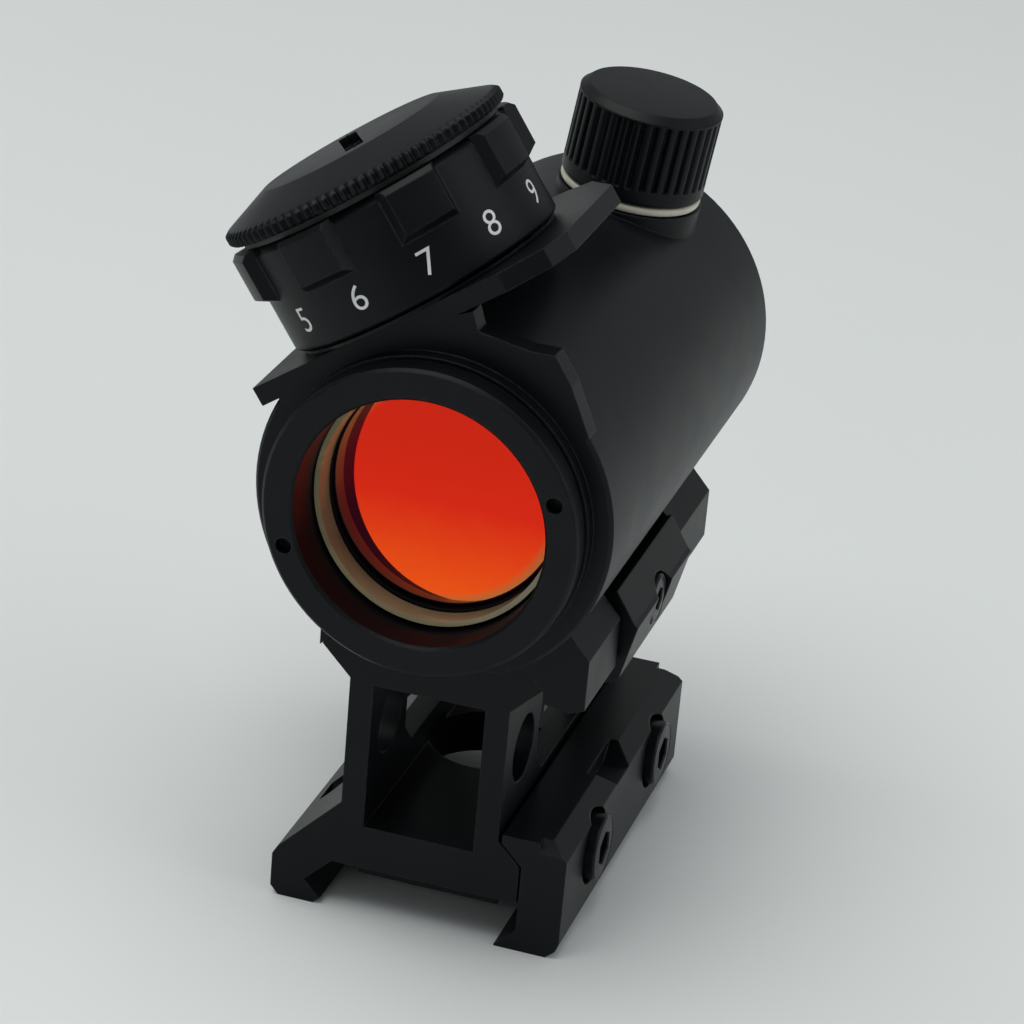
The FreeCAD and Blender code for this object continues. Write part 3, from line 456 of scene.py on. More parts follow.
FINISHES = Finishes()
NUMERAL_PAINT = Moulded("white_fill_paint", (0.80, 0.81, 0.82), 0.45)
TUBE_BLACK = Anodised("bore_black", (0.0030, 0.0030, 0.0035), 0.55, wear=0.1)
TUBE_NODES = ("inner_tube", "lens_retainer")


# --- places --------------------------------------------------------------

@dataclass(frozen=True)
class Reach:
    """How far a node goes along and out from a spindle."""

    low: float
    high: float
    inner: float
    outer: float


@dataclass(frozen=True)
class Spindle:
    """A line that round pieces are turned about."""

    base: Vector
    along: Vector

    @classmethod
    def of_joint(cls, name: str) -> "Spindle":
        """Finds the spindle of one hinge of the frame.

        Args:
            name: The joint's name.

        Returns:
            The spindle, which points away from the tube.
        """
        joint = next(j for j in frame["joints"] if j["name"] == name)
        return cls(Vector(joint["pos_m"]), Vector(joint["axis"]).normalized())

    def matrix(self) -> Matrix:
        """Turns a piece made about Z at the origin onto the spindle."""
        across = Vector((0, 1, 0)).cross(self.along)
        if across.length < 0.5:
            across = Vector((1, 0, 0))
        across.normalize()
        up = self.along.cross(across)
        turned = Matrix((across, up, self.along)).transposed().to_4x4()
        return Matrix.Translation(self.base) @ turned

    def reach(self, node: str) -> Reach:
        """Measures a CAD node about this spindle.

        Args:
            node: The node's name.

        Returns:
            How far it goes along and out.
        """
        back = self.matrix().inverted()
        spots = [back @ v.co for v in frame["nodes"][node].data.vertices]
        heights = [p.z for p in spots]
        radii = [math.hypot(p.x, p.y) for p in spots]
        return Reach(min(heights), max(heights), min(radii), max(radii))


# --- mesh craft ----------------------------------------------------------

def soften(profile: Profile, radius: float, steps: int = 3) -> list[tuple[float, float]]:
    """Rounds the corners of a closed outline that stand off its axis.

    Args:
        profile: Corners as radius and height.
        radius: How far each rounding reaches along its sides.
        steps: Segments in one rounding.

    Returns:
        The outline with its corners rounded.
    """
    corners = [Vector(c) for c in profile]
    made: list[tuple[float, float]] = []
    for index, corner in enumerate(corners):
        before = corners[index - 1]
        after = corners[(index + 1) % len(corners)]
        if corner.x < 1e-7:
            made.append(tuple(corner))
            continue
        back = before - corner
        ahead = after - corner
        start = corner + back.normalized() * min(radius, back.length * 0.45)
        end = corner + ahead.normalized() * min(radius, ahead.length * 0.45)
        for step in range(steps + 1):
            t = step / steps
            made.append(tuple(start * (1 - t) ** 2 + corner * 2 * t * (1 - t) + end * t * t))
    return made


def new_object(name: str, mesh: bpy.types.Mesh) -> bpy.types.Object:
    """Links a mesh into the scene under its name."""
    made = bpy.data.objects.new(name, mesh)
    bpy.context.scene.collection.objects.link(made)
    return made


def finish_mesh(name: str, shape: bmesh.types.BMesh, place: Matrix, crease: float = 32.0
                ) -> bpy.types.Object:
    """Turns worked geometry into a piece.

    Args:
        name: The piece's name.
        shape: Its geometry about Z.
        place: Where it goes in the frame.
        crease: Edges sharper than this many degrees stay sharp.

    Returns:
        The piece.
    """
    bmesh.ops.remove_doubles(shape, verts=shape.verts, dist=1e-7)
    bmesh.ops.recalc_face_normals(shape, faces=shape.faces)
    mesh = bpy.data.meshes.new(name)
    shape.to_mesh(mesh)
    shape.free()
    mesh.transform(place)
    smooth(mesh, crease)
    return new_object(name, mesh)


def smooth(mesh: bpy.types.Mesh, crease: float) -> None:
    """Shades a mesh smooth apart from its creases.

    Args:
        mesh: The mesh.
        crease: Edges sharper than this many degrees stay sharp.
    """
    mesh.polygons.foreach_set("use_smooth", [True] * len(mesh.polygons))
    mesh.set_sharp_from_angle(angle=math.radians(crease))


def weigh_normals(piece: bpy.types.Object) -> None:
    """Keeps broad faces flat beside small roundings."""
    modifier = piece.modifiers.new("flat_faces", "WEIGHTED_NORMAL")
    modifier.keep_sharp = True
    modifier.weight = 80


def turn(profile: Profile, steps: int = 144) -> bmesh.types.BMesh:
    """Turns a closed outline about Z.

    Args:
        profile: Corners as radius and height; a radius may be a function of the angle.
        steps: Segments round the axis.

    Returns:
        The turned geometry.
    """
    shape = bmesh.new()
    rings = []
    for radius, height in profile:
        if not callable(radius) and radius < 1e-7:
            rings.append([shape.verts.new((0, 0, height))])
            continue
        ring = []
        for step in range(steps):
            angle = math.tau * step / steps
            out = radius(angle) if callable(radius) else radius
            ring.append(shape.verts.new((out * math.cos(angle), out * math.sin(angle), height)))
        rings.append(ring)
    for index, ring in enumerate(rings):
        after = rings[(index + 1) % len(rings)]
        if len(ring) == 1 and len(after) == 1:
            continue
        for step in range(steps):
            following = (step + 1) % steps
            corners = [ring[step % len(ring)], ring[following % len(ring)],
                       after[following % len(after)], after[step % len(after)]]
            shape.faces.new(list(dict.fromkeys(corners)))
    return shape


def hexagon(across: float) -> Callable[[float], float]:
    """Describes a hexagon by its radius at each angle.

    Args:
        across: Its width across flats.

    Returns:
        The radius as a function of the angle.
    """
    def radius(angle: float) -> float:
        """Distance from the middle to the hexagon's side."""
        return across / 2 / math.cos(math.fmod(angle, math.pi / 3) - math.pi / 6)
    return radius


def dress(piece: bpy.types.Object, body: str, slot: Slot, nodes: Iterable[str] = (),
          finish: Optional[Finish] = None) -> bpy.types.Object:
    """Gives a piece its material, its body and the nodes it stands for.

    Args:
        piece: The finished piece.
        body: The CAD body it rides on.
        slot: The record's slot.
        nodes: CAD nodes that it stands for.
        finish: A finish of its own, where the slot's doesn't serve.

    Returns:
        The piece.
    """
    piece.data.materials.clear()
    piece.data.materials.append(FINISHES.get(finish or slot))
    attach(piece, body)
    if nodes:
        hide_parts(*nodes)
    return piece


# --- geometry node trees -------------------------------------------------

class Tree:
    """A geometry node tree with named inputs that ends in real, dressed geometry."""

    def __init__(self, name: str, inputs: dict[str, str]) -> None:
        """Makes the tree and its inputs.

        Args:
            name: The tree's name.
            inputs: Socket types by input name; Geometry and Finish are always there.
        """
        self.tree = bpy.data.node_groups.new(name, "GeometryNodeTree")
        sockets = {"Geometry": "NodeSocketGeometry", **inputs, "Finish": "NodeSocketMaterial"}
        self.keys: dict[str, str] = {}
        for label, kind in sockets.items():
            made = self.tree.interface.new_socket(label, in_out="INPUT", socket_type=kind)
            self.keys[label] = made.identifier
        self.tree.interface.new_socket("Geometry", in_out="OUTPUT",
                                       socket_type="NodeSocketGeometry")
        self.entry = self.tree.nodes.new("NodeGroupInput")

    def given(self, label: str) -> bpy.types.NodeSocket:
        """The socket that brings in a named input."""
        return self.entry.outputs[label]

    def node(self, kind: str, settings: dict, sockets: dict) -> bpy.types.Node:
        """Adds a node; values of sockets may be output sockets or plain values."""
        made = self.tree.nodes.new(kind)
        for name, value in settings.items():
            setattr(made, name, value)
        for key, value in sockets.items():
            if isinstance(value, bpy.types.NodeSocket):
                self.tree.links.new(value, made.inputs[key])
            else:
                made.inputs[key].default_value = value
        return made

    def maths(self, operation: str, *values: Union[bpy.types.NodeSocket, float]
              ) -> bpy.types.NodeSocket:
        """Result of one Math node."""
        sockets = dict(enumerate(values))
        return self.node("ShaderNodeMath", {"operation": operation}, sockets).outputs[0]

    def end(self, geometry: bpy.types.NodeSocket) -> None:
        """Realizes what was made and dresses it."""
        real = self.node("GeometryNodeRealizeInstances", {}, {0: geometry})
        dressed = self.node("GeometryNodeSetMaterial", {},
                            {"Geometry": real.outputs[0], "Material": self.given("Finish")})
        out = self.tree.nodes.new("NodeGroupOutput")
        self.tree.links.new(dressed.outputs[0], out.inputs[0])

    def run(self, piece: bpy.types.Object, **values: object) -> None:
        """Works a piece with this tree and leaves it a plain mesh.

        Args:
            piece: The object that is worked.
            values: Inputs by name, with underscores for spaces.
        """
        modifier = piece.modifiers.new(self.tree.name, "NODES")
        modifier.node_group = self.tree
        for label, value in values.items():
            modifier[self.keys[label.replace("_", " ")]] = value
        graph = bpy.context.evaluated_depsgraph_get()
        worked = bpy.data.meshes.new_from_object(piece.evaluated_get(graph), depsgraph=graph)
        piece.modifiers.clear()
        piece.data = worked


def flute_tree() -> Tree:
    """Cuts even flutes round Z wherever the attribute 'bite' says so."""
    made = Tree("even_flutes", {"Count": "NodeSocketInt", "Depth": "NodeSocketFloat",
                                "Narrow": "NodeSocketFloat"})
    spot = made.node("GeometryNodeInputPosition", {}, {}).outputs[0]
    parts = made.node("ShaderNodeSeparateXYZ", {}, {0: spot}).outputs
    angle = made.maths("ARCTAN2", parts["Y"], parts["X"])
    wave = made.maths("COSINE", made.maths("MULTIPLY", angle, made.given("Count")))
    groove = made.maths("POWER", made.maths("MULTIPLY_ADD", wave, 0.5, 0.5), made.given("Narrow"))
    bite = made.node("GeometryNodeInputNamedAttribute", {"data_type": "FLOAT"}, {"Name": "bite"})
    depth = made.maths("MULTIPLY", made.maths("MULTIPLY", groove, bite.outputs[0]),
                       made.given("Depth"))
    flat = made.node("ShaderNodeCombineXYZ", {}, {"X": parts["X"], "Y": parts["Y"]}).outputs[0]
    out = made.node("ShaderNodeVectorMath", {"operation": "NORMALIZE"}, {0: flat}).outputs[0]
    inwards = made.node("ShaderNodeVectorMath", {"operation": "SCALE"},
                        {0: out, "Scale": made.maths("MULTIPLY", depth, -1.0)}).outputs[0]
    moved = made.node("GeometryNodeSetPosition", {},
                      {"Geometry": made.given("Geometry"), "Offset": inwards})
    made.end(moved.outputs[0])
    return made


def ring_tree() -> Tree:
    """Repeats one pad evenly round Z and keeps what it is given."""
    made = Tree("pads_round_a_drum", {"Pad": "NodeSocketObject", "Count": "NodeSocketInt",
                                      "Turn": "NodeSocketFloat"})
    pad = made.node("GeometryNodeObjectInfo", {}, {"Object": made.given("Pad")})
    spots = made.node("GeometryNodeMeshLine", {},
                      {"Count": made.given("Count"), "Offset": (0.0, 0.0, 0.0)})
    index = made.node("GeometryNodeInputIndex", {}, {}).outputs[0]
    pitch = made.maths("DIVIDE", math.tau, made.given("Count"))
    angle = made.maths("MULTIPLY_ADD", index, pitch, made.given("Turn"))
    spin = made.node("ShaderNodeCombineXYZ", {}, {"Z": angle}).outputs[0]
    copies = made.node("GeometryNodeInstanceOnPoints", {},
                       {"Points": spots.outputs[0], "Instance": pad.outputs["Geometry"],
                        "Rotation": spin})
    joined = made.node("GeometryNodeJoinGeometry", {}, {})
    for part in (made.given("Geometry"), copies.outputs[0]):
        made.tree.links.new(part, joined.inputs[0])
    made.end(joined.outputs[0])
    return made


# --- brightness dial -----------------------------------------------------

@dataclass
class BrightnessDial:
    """Numbered drum with grip lugs, and the battery cap that closes it."""

    spindle: Spindle
    ease: float = 0.1 * MM
    sunk: float = 0.02 * MM
    tray_gap: float = 0.06 * MM
    drum_floor: float = 1.7 * MM
    drum_edge: float = 0.25 * MM
    band_radius: float = 13.2 * MM
    band_top: float = 22.1 * MM
    rim_ease: float = 0.7 * MM
    lug_count: int = 8
    lug_turn: float = -53.6
    lug_half: float = 12.6
    lug_side: float = 0.75 * MM
    lug_taper: float = 0.6
    lug_slope: float = 0.76 * MM
    lug_rim: float = 0.48 * MM
    lug_root: float = 0.5 * MM
    lug_lift: float = 0.05 * MM
    lug_drop: float = 0.04 * MM
    lug_ease: float = 0.10 * MM
    lug_crease: float = 25.0
    lug_steps: int = 12
    numeral_height: float = 2.35 * MM
    numeral_middle: float = 19.98 * MM
    numeral_count: int = 12
    numeral_shown: int = 7
    numeral_shown_turn: float = -61.0
    font_share: float = 0.70
    stroke: float = -0.02 * MM
    paint: float = 0.02 * MM
    paint_root: float = 0.01 * MM
    bends: int = 6
    cap_flat: float = 8.8 * MM
    cap_gap: float = 0.1 * MM
    cap_rim: float = 1.35 * MM
    cap_edge: float = 0.30 * MM
    cap_shoulder: float = 0.45 * MM
    cap_under: float = 0.3 * MM
    skirt_gap: float = 0.05 * MM
    skirt_wall: float = 1.2 * MM
    teeth: int = 92
    tooth_steps: int = 8
    tooth_root: float = 0.62 * MM
    tooth_ramp: float = 0.5 * MM
    tooth_narrow: float = 1.1
    tooth_depth: float = 0.42 * MM
    tooth_fade: float = 0.55 * MM
    slot_turn: float = -63.6
    slot_length: float = 15.0 * MM
    slot_width: float = 1.8 * MM
    slot_depth: float = 1.0 * MM

    def lug(self) -> bpy.types.Object:
        """One grip lug about Z, with sloping ends and sides."""
        reach = self.spindle.reach("dial_drum")
        low, high = self.band_top, reach.high - self.lug_drop
        deep = self.band_radius - self.lug_root
        skin = self.band_radius - self.sunk
        foot = low + self.lug_lift
        half = math.radians(self.lug_half)
        side = self.lug_side / reach.outer
        shape = bmesh.new()
        steps = self.lug_steps
        rows = [
            (deep, foot, half), (skin, foot, half),
            (reach.outer, low + self.lug_slope, half - side),
            (reach.outer, high - self.lug_rim, half - side),
            (reach.outer - self.lug_rim, high, half - side * self.lug_taper), (deep, high, half),
        ]
        grid = []
        for radius, height, spread in rows:
            angles = [spread * (2 * step / steps - 1) for step in range(steps + 1)]
            grid.append([shape.verts.new((radius * math.cos(a), radius * math.sin(a), height))
                         for a in angles])
        for row, after in zip(grid, grid[1:] + grid[:1]):
            for step in range(steps):
                shape.faces.new((row[step], row[step + 1], after[step + 1], after[step]))
        flank = (low + self.lug_slope, high - self.lug_rim, high)
        for end, angle in ((0, -half), (steps, half)):
            feet = [shape.verts.new((skin * math.cos(angle), skin * math.sin(angle), height))
                    for height in flank]
            column = [row[end] for row in grid]
            shape.faces.new((column[1], column[2], feet[0]))
            shape.faces.new((column[2], column[3], feet[1], feet[0]))
            shape.faces.new((column[3], column[4], feet[2], feet[1]))
            shape.faces.new((column[4], column[5], feet[2]))
            shape.faces.new((column[0], column[1], feet[0], feet[1], feet[2], column[5]))
        creases = [e for e in shape.edges
                   if e.is_manifold and e.calc_face_angle(0) > math.radians(self.lug_crease)]
        bmesh.ops.bevel(shape, geom=creases, offset=self.lug_ease, segments=2, affect="EDGES",
                        clamp_overlap=True)
        return finish_mesh("grip_lug", shape, Matrix.Identity(4))

    def drum(self, ring: Tree) -> bpy.types.Object:
        """The drum: a turned shell with the lugs round it."""
        reach = self.spindle.reach("dial_drum")
        bore = self.spindle.reach("battery_tray").outer + self.tray_gap
        floor = reach.low + self.drum_floor
        outline = [
            (reach.inner, reach.low), (self.band_radius - self.drum_edge, reach.low),
            (self.band_radius, reach.low + self.drum_edge),
            (self.band_radius, reach.high - self.rim_ease),
            (self.band_radius - self.rim_ease, reach.high), (bore, reach.high),
            (bore, floor), (reach.inner, floor),
        ]
        piece = finish_mesh("dial_drum_shell", turn(soften(outline, self.ease)),
                            Matrix.Identity(4))
        pad = self.lug()
        ring.run(piece, Pad=pad, Count=self.lug_count, Turn=math.radians(self.lug_turn),
                 Finish=FINISHES.get(Slot.ANODISED_BLACK))
        bpy.data.objects.remove(pad)
        smooth(piece.data, 32.0)
        piece.data.transform(self.spindle.matrix())
        weigh_normals(piece)
        return dress(piece, "dial", Slot.ANODISED_BLACK, ["dial_drum"])

    def numeral(self, value: int, turned_by: float) -> bpy.types.Object:
        """One painted numeral, wrapped on the band.

        Args:
            value: The number.
            turned_by: Its angle about the spindle, in radians.

        Returns:
            The numeral.
        """
        curve = bpy.data.curves.new("numeral", "FONT")
        curve.body = str(value)
        curve.size = self.numeral_height / self.font_share
        curve.align_x = "CENTER"
        curve.resolution_u = 5
        curve.offset = self.stroke
        lettering = new_object("numeral", curve)
        graph = bpy.context.evaluated_depsgraph_get()
        mesh = bpy.data.meshes.new_from_object(lettering.evaluated_get(graph))
        bpy.data.objects.remove(lettering)
        shape = bmesh.new()
        shape.from_mesh(mesh)
        bpy.data.meshes.remove(mesh)
        bmesh.ops.remove_doubles(shape, verts=shape.verts, dist=1e-7)
        reach = max(v.co.x for v in shape.verts)
        for step in range(-self.bends, self.bends + 1):
            cut = (reach * step / (self.bends + 1), 0, 0)
            whole = list(shape.verts) + list(shape.edges) + list(shape.faces)
            bmesh.ops.bisect_plane(shape, geom=whole, plane_co=cut, plane_no=(1, 0, 0))
        raised = bmesh.ops.extrude_face_region(shape, geom=list(shape.faces))["geom"]
        for vert in (item for item in raised if isinstance(item, bmesh.types.BMVert)):
            vert.co.z = self.paint
        rise = self.numeral_height / 2
        for vert in shape.verts:
            radius = self.band_radius - self.paint_root + vert.co.z
            angle = turned_by + vert.co.x / self.band_radius
            height = self.numeral_middle + vert.co.y - rise
            vert.co = (radius * math.cos(angle), radius * math.sin(angle), height)
        return finish_mesh("numeral_%d" % value, shape, self.spindle.matrix())

    def numerals(self) -> bpy.types.Object:
        """All the numerals as one painted piece."""
        pitch = math.tau / self.numeral_count
        start = math.radians(self.numeral_shown_turn)
        shape = bmesh.new()
        for value in range(self.numeral_count):
            one = self.numeral(value, start + (value - self.numeral_shown) * pitch)
            shape.from_mesh(one.data)
            bpy.data.objects.remove(one)
        piece = finish_mesh("dial_numerals", shape, Matrix.Identity(4), 40.0)
        return dress(piece, "dial", Slot.ANODISED_BLACK, finish=NUMERAL_PAINT)

    def cap(self, flutes: Tree) -> bpy.types.Object:
        """The battery cap: toothed rim, shallow cone, flat top and coin slot."""
        reach = self.spindle.reach("battery_cap")
        rim_low = self.spindle.reach("cap_gasket").high + self.cap_gap
        rim_high = rim_low + self.cap_rim
        under = rim_low - self.cap_under
        skirt = self.spindle.reach("battery_tray").outer - self.skirt_gap
        inside = skirt - self.skirt_wall
        edge = reach.outer - self.cap_shoulder
        rise = (reach.high - rim_high) * self.tooth_fade / (edge - self.cap_flat)
        outline = soften([
            (0.0, under), (inside, under), (inside, reach.low), (skirt, reach.low),
            (skirt, rim_low), (reach.outer - self.cap_edge, rim_low),
            (reach.outer, rim_low + self.cap_edge), (reach.outer, rim_high - self.cap_edge),
            (edge, rim_high), (edge - self.tooth_fade, rim_high + rise),
            (self.cap_flat, reach.high), (0.0, reach.high),
        ], self.ease)
        shape = turn(outline, self.teeth * self.tooth_steps)
        bite = shape.verts.layers.float.new("bite")
        for vert in shape.verts:
            depth = math.hypot(vert.co.x, vert.co.y) - (reach.outer - self.tooth_root)
            tall = rim_low - SLACK < vert.co.z < rim_high + self.ease / 2
            vert[bite] = min(1.0, max(0.0, depth / self.tooth_ramp)) if tall else 0.0
        piece = finish_mesh("battery_cap_shell", shape, Matrix.Identity(4), 40.0)
        flutes.run(piece, Count=self.teeth, Depth=self.tooth_depth, Narrow=self.tooth_narrow,
                   Finish=FINISHES.get(Slot.ANODISED_BLACK))
        self.cut_slot(piece, reach.high)
        smooth(piece.data, 35.0)
        piece.data.transform(self.spindle.matrix())
        weigh_normals(piece)
        return dress(piece, "battery_lid", Slot.ANODISED_BLACK, ["battery_cap"])

    def cut_slot(self, piece: bpy.types.Object, top: float) -> None:
        """Cuts the coin slot across the cap."""
        shape = bmesh.new()
        size = (self.slot_length, self.slot_width, self.slot_depth * 2)
        bmesh.ops.create_cube(shape, size=1.0, matrix=Matrix.Diagonal((*size, 1.0)))
        uprights = [e for e in shape.edges if abs(e.verts[0].co.z - e.verts[1].co.z) > 1e-6]
        bmesh.ops.bevel(shape, geom=uprights, offset=self.slot_width * 0.45, segments=6,
                        affect="EDGES")
        spin = Matrix.Rotation(math.radians(self.slot_turn), 4, "Z")
        cutter = finish_mesh("slot_cutter", shape, Matrix.Translation((0, 0, top)) @ spin)
        carve(piece, cutter)

    def build(self, flutes: Tree, ring: Tree) -> list[bpy.types.Object]:
        """Makes the drum, its numerals and the cap."""
        return [self.drum(ring), self.numerals(), self.cap(flutes)]


def carve(piece: bpy.types.Object, cutter: bpy.types.Object) -> None:
    """Takes one shape out of another and removes the cutter.

    Args:
        piece: The shape that is cut.
        cutter: The shape that is taken away.
    """
    modifier = piece.modifiers.new("cut", "BOOLEAN")
    modifier.operation = "DIFFERENCE"
    modifier.solver = "EXACT"
    modifier.object = cutter
    graph = bpy.context.evaluated_depsgraph_get()
    mesh = bpy.data.meshes.new_from_object(piece.evaluated_get(graph), depsgraph=graph)
    piece.modifiers.clear()
    piece.data = mesh
    bpy.data.objects.remove(cutter)


# --- adjusters -----------------------------------------------------------

@dataclass
class Adjuster:
    """Fluted cap and cream seal of one adjuster."""

    word: str
    flute_count: int = 36
    flute_depth: float = 0.42 * MM
    flute_low: float = 1.55 * MM
    flute_high: float = 0.95 * MM
    fade: float = 0.30 * MM
    flute_steps: int = 12
    flute_narrow: float = 3.2
    crown: float = 0.75 * MM
    foot_in: float = 0.2 * MM
    foot_up: float = 0.25 * MM
    bore: float = 5.4 * MM
    wall: float = 1.7 * MM
    ease: float = 0.12 * MM
    seal_ease: float = 0.38 * MM

    def spindle(self) -> Spindle:
        """The line the cap turns on."""
        return Spindle.of_joint(self.word + "_cover_turn")

    def cap(self, flutes: Tree) -> bpy.types.Object:
        """The cap: turned, with flutes that fade out below the rim and above the foot."""
        spindle = self.spindle()
        reach = spindle.reach(self.word + "_cap")
        start = reach.low + self.flute_low
        end = reach.high - self.flute_high
        rows = [start - self.fade, start, (start + end) / 2, end, end + self.fade]
        outline = soften([
            (reach.inner, reach.low), (reach.outer - self.foot_in, reach.low),
            (reach.outer, reach.low + self.foot_up),
            *[(reach.outer, height) for height in rows],
            (reach.outer, reach.high - self.crown), (reach.outer - self.crown, reach.high),
            (0.0, reach.high), (0.0, reach.high - self.wall),
            (self.bore, reach.high - self.wall),
        ], self.ease)
        shape = turn(outline, self.flute_count * self.flute_steps)
        bite = shape.verts.layers.float.new("bite")
        for vert in shape.verts:
            outside = math.hypot(vert.co.x, vert.co.y) > reach.outer - 5 * SLACK
            inside = start - SLACK <= vert.co.z <= end + SLACK
            vert[bite] = 1.0 if outside and inside else 0.0
        piece = finish_mesh(self.word + "_cap_shell", shape, Matrix.Identity(4), 40.0)
        flutes.run(piece, Count=self.flute_count, Depth=self.flute_depth,
                   Narrow=self.flute_narrow, Finish=FINISHES.get(Slot.ANODISED_BLACK))
        smooth(piece.data, 40.0)
        piece.data.transform(spindle.matrix())
        return dress(piece, self.word + "_cover", Slot.ANODISED_BLACK, [self.word + "_cap"])

    def seal(self) -> bpy.types.Object:
        """The cream ring under the cap, round in section."""
        spindle = self.spindle()
        reach = spindle.reach(self.word + "_seal")
        outline = soften([
            (reach.inner, reach.low), (reach.outer, reach.low),
            (reach.outer, reach.high), (reach.inner, reach.high),
        ], self.seal_ease, 6)
        piece = finish_mesh(self.word + "_seal_ring", turn(outline), spindle.matrix(), 60.0)
        return dress(piece, self.word + "_ring", Slot.CREAM_SEAL, [self.word + "_seal"])

    def build(self, flutes: Tree) -> list[bpy.types.Object]:
        """Makes the cap and the seal."""
        return [self.cap(flutes), self.seal()]


# --- optics --------------------------------------------------------------

@dataclass
class Optics:
    """Objective lens with its mirror coat, tilted to send the dot down the tube."""

    curve: float = 70.0 * MM
    lean: float = -7.0
    depth: float = 10.3 * MM
    thick: float = 3.2 * MM
    bevel: float = 0.15 * MM
    rings: int = 8

    def lens(self) -> bpy.types.Object:
        """The lens: a flat coated front, a ground edge and a domed back."""
        low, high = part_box("objective_lens")
        radius = (high.x - low.x) / 2
        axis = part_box("inner_tube")
        middle = Vector((0.0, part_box("front_bezel")[0].y + self.depth,
                         (axis[0].z + axis[1].z) / 2))
        half = self.thick / 2
        front = [((radius - self.bevel) * step / 2, -half) for step in range(3)]
        edge = radius * radius / (2 * self.curve)
        back = [(radius * step / self.rings, half - edge * (step / self.rings) ** 2)
                for step in range(self.rings, -1, -1)]
        shape = turn([*front, (radius, self.bevel - half), *back], 128)
        place = (Matrix.Translation(middle)
                 @ Matrix.Rotation(math.radians(self.lean) - math.pi / 2, 4, "X"))
        piece = finish_mesh("objective_lens_coated", shape, place, 40.0)
        return dress(piece, "optical_cell", Slot.RED_LENS, ["objective_lens"])

    def build(self) -> list[bpy.types.Object]:
        """Makes the lens."""
        return [self.lens()]


# --- screws --------------------------------------------------------------

@dataclass
class HexScrew:
    """Socket screw that lies along X with its head outwards."""

    node: str
    body: str
    socket: float
    deep: float
    head_height: float
    ease: float = 0.22 * MM
    corner: float = 0.08 * MM
    mouth: float = 0.25 * MM
    mouth_deep: float = 0.14 * MM
    drill_cone: float = 0.2
    tip_share: float = 0.3

    def build(self) -> bpy.types.Object:
        """Head with a hexagon socket, on a plain shank."""
        low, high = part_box(self.node)
        head = (high.z - low.z) / 2
        middle = (low + high) / 2
        length = high.x - low.x
        spindle = Spindle(Vector((low.x, middle.y, middle.z)), Vector((1, 0, 0)))
        points = [v.co for v in frame["nodes"][self.node].data.vertices]
        shank = max(math.hypot(p.y - middle.y, p.z - middle.z) for p in points
                    if p.x < low.x + length * self.tip_share)
        neck = length - self.head_height
        outer = soften([
            (0.0, 0.0), (shank, 0.0), (shank, neck), (head, neck), (head, length - self.ease),
            (head - self.ease, length),
        ], self.corner, 2)
        side = hexagon(self.socket)
        wide = hexagon(self.socket + self.mouth)
        bottom = length - self.deep
        outline = [*outer, (wide, length), (side, length - self.mouth_deep), (side, bottom),
                   (0.0, bottom - self.socket * self.drill_cone)]
        piece = finish_mesh(self.node + "_machined", turn(outline, 96), spindle.matrix(), 28.0)
        weigh_normals(piece)
        return dress(piece, self.body, Slot.BLACK_STEEL, [self.node])


SCREWS = (
    HexScrew("rail_bolt_front", "bolt_front", 3.0 * MM, 1.9 * MM, 3.15 * MM),
    HexScrew("rail_bolt_rear", "bolt_rear", 3.0 * MM, 1.9 * MM, 3.15 * MM),
    HexScrew("base_clamp_screw", "base_screw", 2.0 * MM, 1.2 * MM, 1.55 * MM),
)


# --- stage, light and camera ---------------------------------------------

@dataclass(frozen=True)
class Softbox:
    """A square soft light; it faces the sight where it isn't aimed at something else."""

    name: str
    place: Place
    size: float
    watts: float
    colour: Colour
    aimed_at: Optional[Place] = None


SOFTBOXES = (
    Softbox("top_softbox", (-0.20, -0.10, 0.88), 0.8, 5.6, (1.0, 0.99, 0.97)),
    Softbox("right_softbox", (0.95, 0.05, 0.45), 0.7, 1.8, (0.97, 0.99, 1.0)),
    Softbox("floor_light", (-0.045, -0.17, 0.08), 0.08, 0.022, (1.0, 1.0, 1.0),
            (-0.045, -0.17, 0.0)),
)


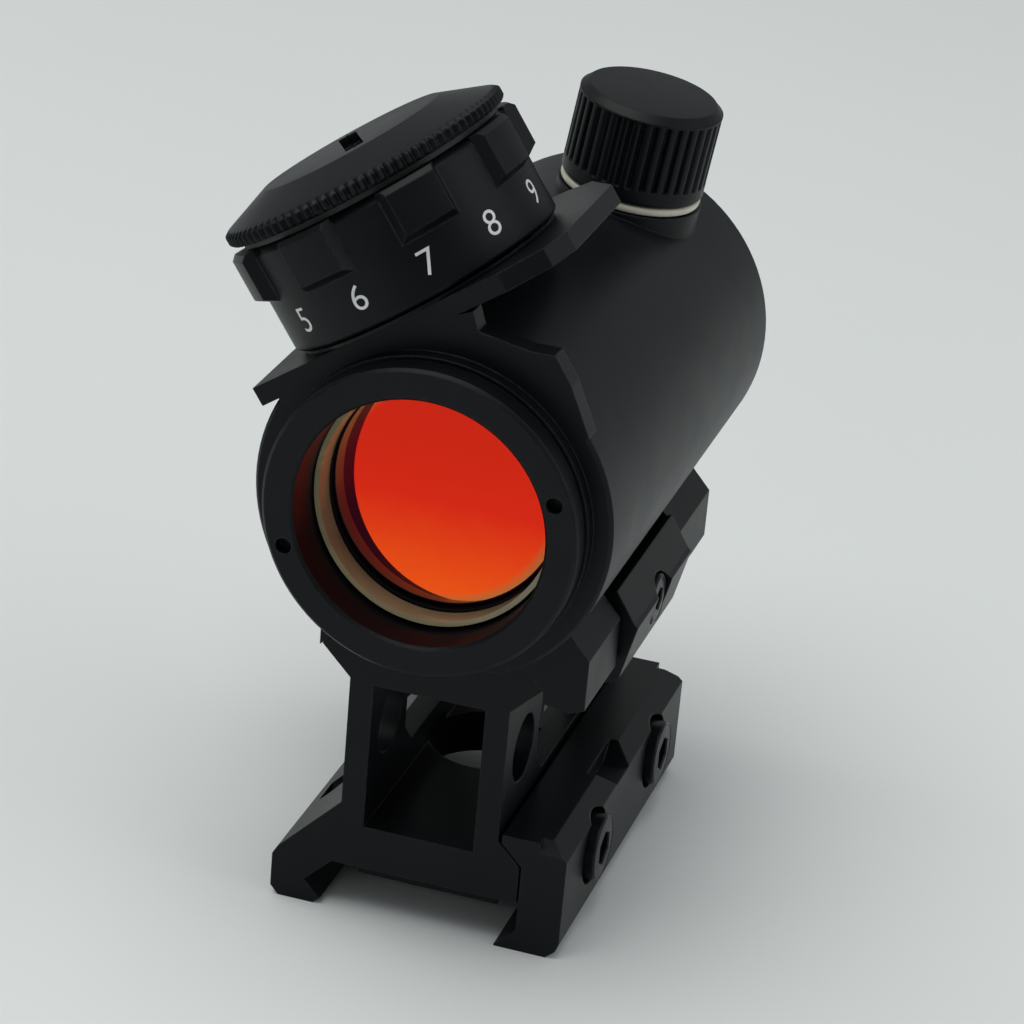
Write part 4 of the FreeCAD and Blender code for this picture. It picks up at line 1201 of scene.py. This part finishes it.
@dataclass
class Studio:
    """Pale floor, soft light and the camera."""

    paper: Paper = Paper("seamless_paper", (0.75, 0.785, 0.785), 0.75)
    floor_half: float = 3.0
    floor_gap: float = 0.02 * MM
    bright_side: Place = (0.25, 0.85, 0.46)
    dim_air: Colour = (0.12, 0.125, 0.13)
    bright_air: Colour = (0.38, 0.395, 0.395)
    target: Place = (3.12 * MM, -9.30 * MM, 34.02 * MM)
    azimuth: float = 15.517
    elevation: float = 24.287
    distance: float = 330.70 * MM
    roll: float = 5.157
    lens: float = 126.46
    sensor: float = 36.0

    def floor(self) -> None:
        """The sheet under the sight, at its lowest point."""
        height = CAD_BOX[0].z - self.floor_gap
        shape = bmesh.new()
        bmesh.ops.create_grid(shape, x_segments=8, y_segments=8, size=self.floor_half)
        piece = finish_mesh("floor_sheet", shape, Matrix.Translation((0, 0, height)))
        piece.data.materials.append(FINISHES.get(self.paper))

    def lamp(self, box: Softbox) -> None:
        """Hangs one softbox."""
        data = bpy.data.lights.new(box.name, "AREA")
        data.size = box.size
        data.energy = box.watts
        data.color = box.colour
        lamp = bpy.data.objects.new(box.name, data)
        lamp.location = box.place
        lamp.rotation_mode = "QUATERNION"
        aim = Vector(box.aimed_at or self.target) - Vector(box.place)
        lamp.rotation_quaternion = aim.to_track_quat("-Z", "Y")
        bpy.context.scene.collection.objects.link(lamp)

    def world(self) -> None:
        """Even surroundings, brighter behind the sight and overhead than in front."""
        world = bpy.data.worlds.new("studio_air")
        bpy.context.scene.world = world
        world.use_nodes = True
        graph = Graph(world.node_tree)
        direction = graph.node("ShaderNodeTexCoord", {}, {}, "Generated")
        facing = graph.node("ShaderNodeVectorMath", {"operation": "DOT_PRODUCT"},
                            {0: direction, 1: self.bright_side}, "Value")
        glow = graph.blend(facing.clamped(-0.9, 0.6), self.dim_air, self.bright_air)
        out = world.node_tree.nodes.new("ShaderNodeOutputWorld")
        back = graph.node("ShaderNodeBackground", {}, {"Color": glow, "Strength": 1.0})
        world.node_tree.links.new(back.socket, out.inputs["Surface"])

    def camera(self) -> None:
        """The camera, above and to the right of the objective."""
        a, e = math.radians(self.azimuth), math.radians(self.elevation)
        back = Vector((math.sin(a) * math.cos(e), -math.cos(a) * math.cos(e), math.sin(e)))
        right = (-back).cross(Vector((0, 0, 1))).normalized()
        up = right.cross(-back)
        roll = math.radians(self.roll)
        leaning_right = right * math.cos(roll) + up * math.sin(roll)
        leaning_up = up * math.cos(roll) - right * math.sin(roll)
        data = bpy.data.cameras.new("camera")
        data.lens = self.lens
        data.sensor_width = self.sensor
        data.clip_start = 0.01
        data.clip_end = 20.0
        camera = bpy.data.objects.new("camera", data)
        turned = Matrix((leaning_right, leaning_up, back)).transposed().to_4x4()
        camera.matrix_world = (Matrix.Translation(Vector(self.target) + back * self.distance)
                               @ turned)
        bpy.context.scene.collection.objects.link(camera)
        bpy.context.scene.camera = camera

    def build(self) -> None:
        """Sets the floor, the lights, the surroundings and the camera."""
        self.camera()
        self.floor()
        self.world()
        for box in SOFTBOXES:
            self.lamp(box)
        bpy.context.scene.view_settings.view_transform = "Standard"


# --- assembly ------------------------------------------------------------

def dress_frame() -> None:
    """Gives every CAD node that shows the finish of its slot."""
    for subpart in frame["record"]["subparts"]:
        node = frame["nodes"][subpart["node"]]
        slot = Slot[subpart["material_slot"].upper()]
        node.data.materials.clear()
        inside = subpart["node"] in TUBE_NODES
        node.data.materials.append(FINISHES.get(TUBE_BLACK if inside else slot))


def main() -> None:
    """Builds the looks in order and reports each piece."""
    logging.basicConfig(level=logging.INFO, format="%(name)s: %(message)s")
    Studio().build()
    dress_frame()
    flutes = flute_tree()
    ring = ring_tree()
    pieces = BrightnessDial(Spindle.of_joint("dial_turn")).build(flutes, ring)
    for word in ("elevation", "windage"):
        pieces += Adjuster(word).build(flutes)
    pieces += Optics().build()
    pieces += [screw.build() for screw in SCREWS]
    for piece in pieces:
        LOG.info("%s: %d faces", piece.name, len(piece.data.polygons))


if __name__ == "__main__":
    main()
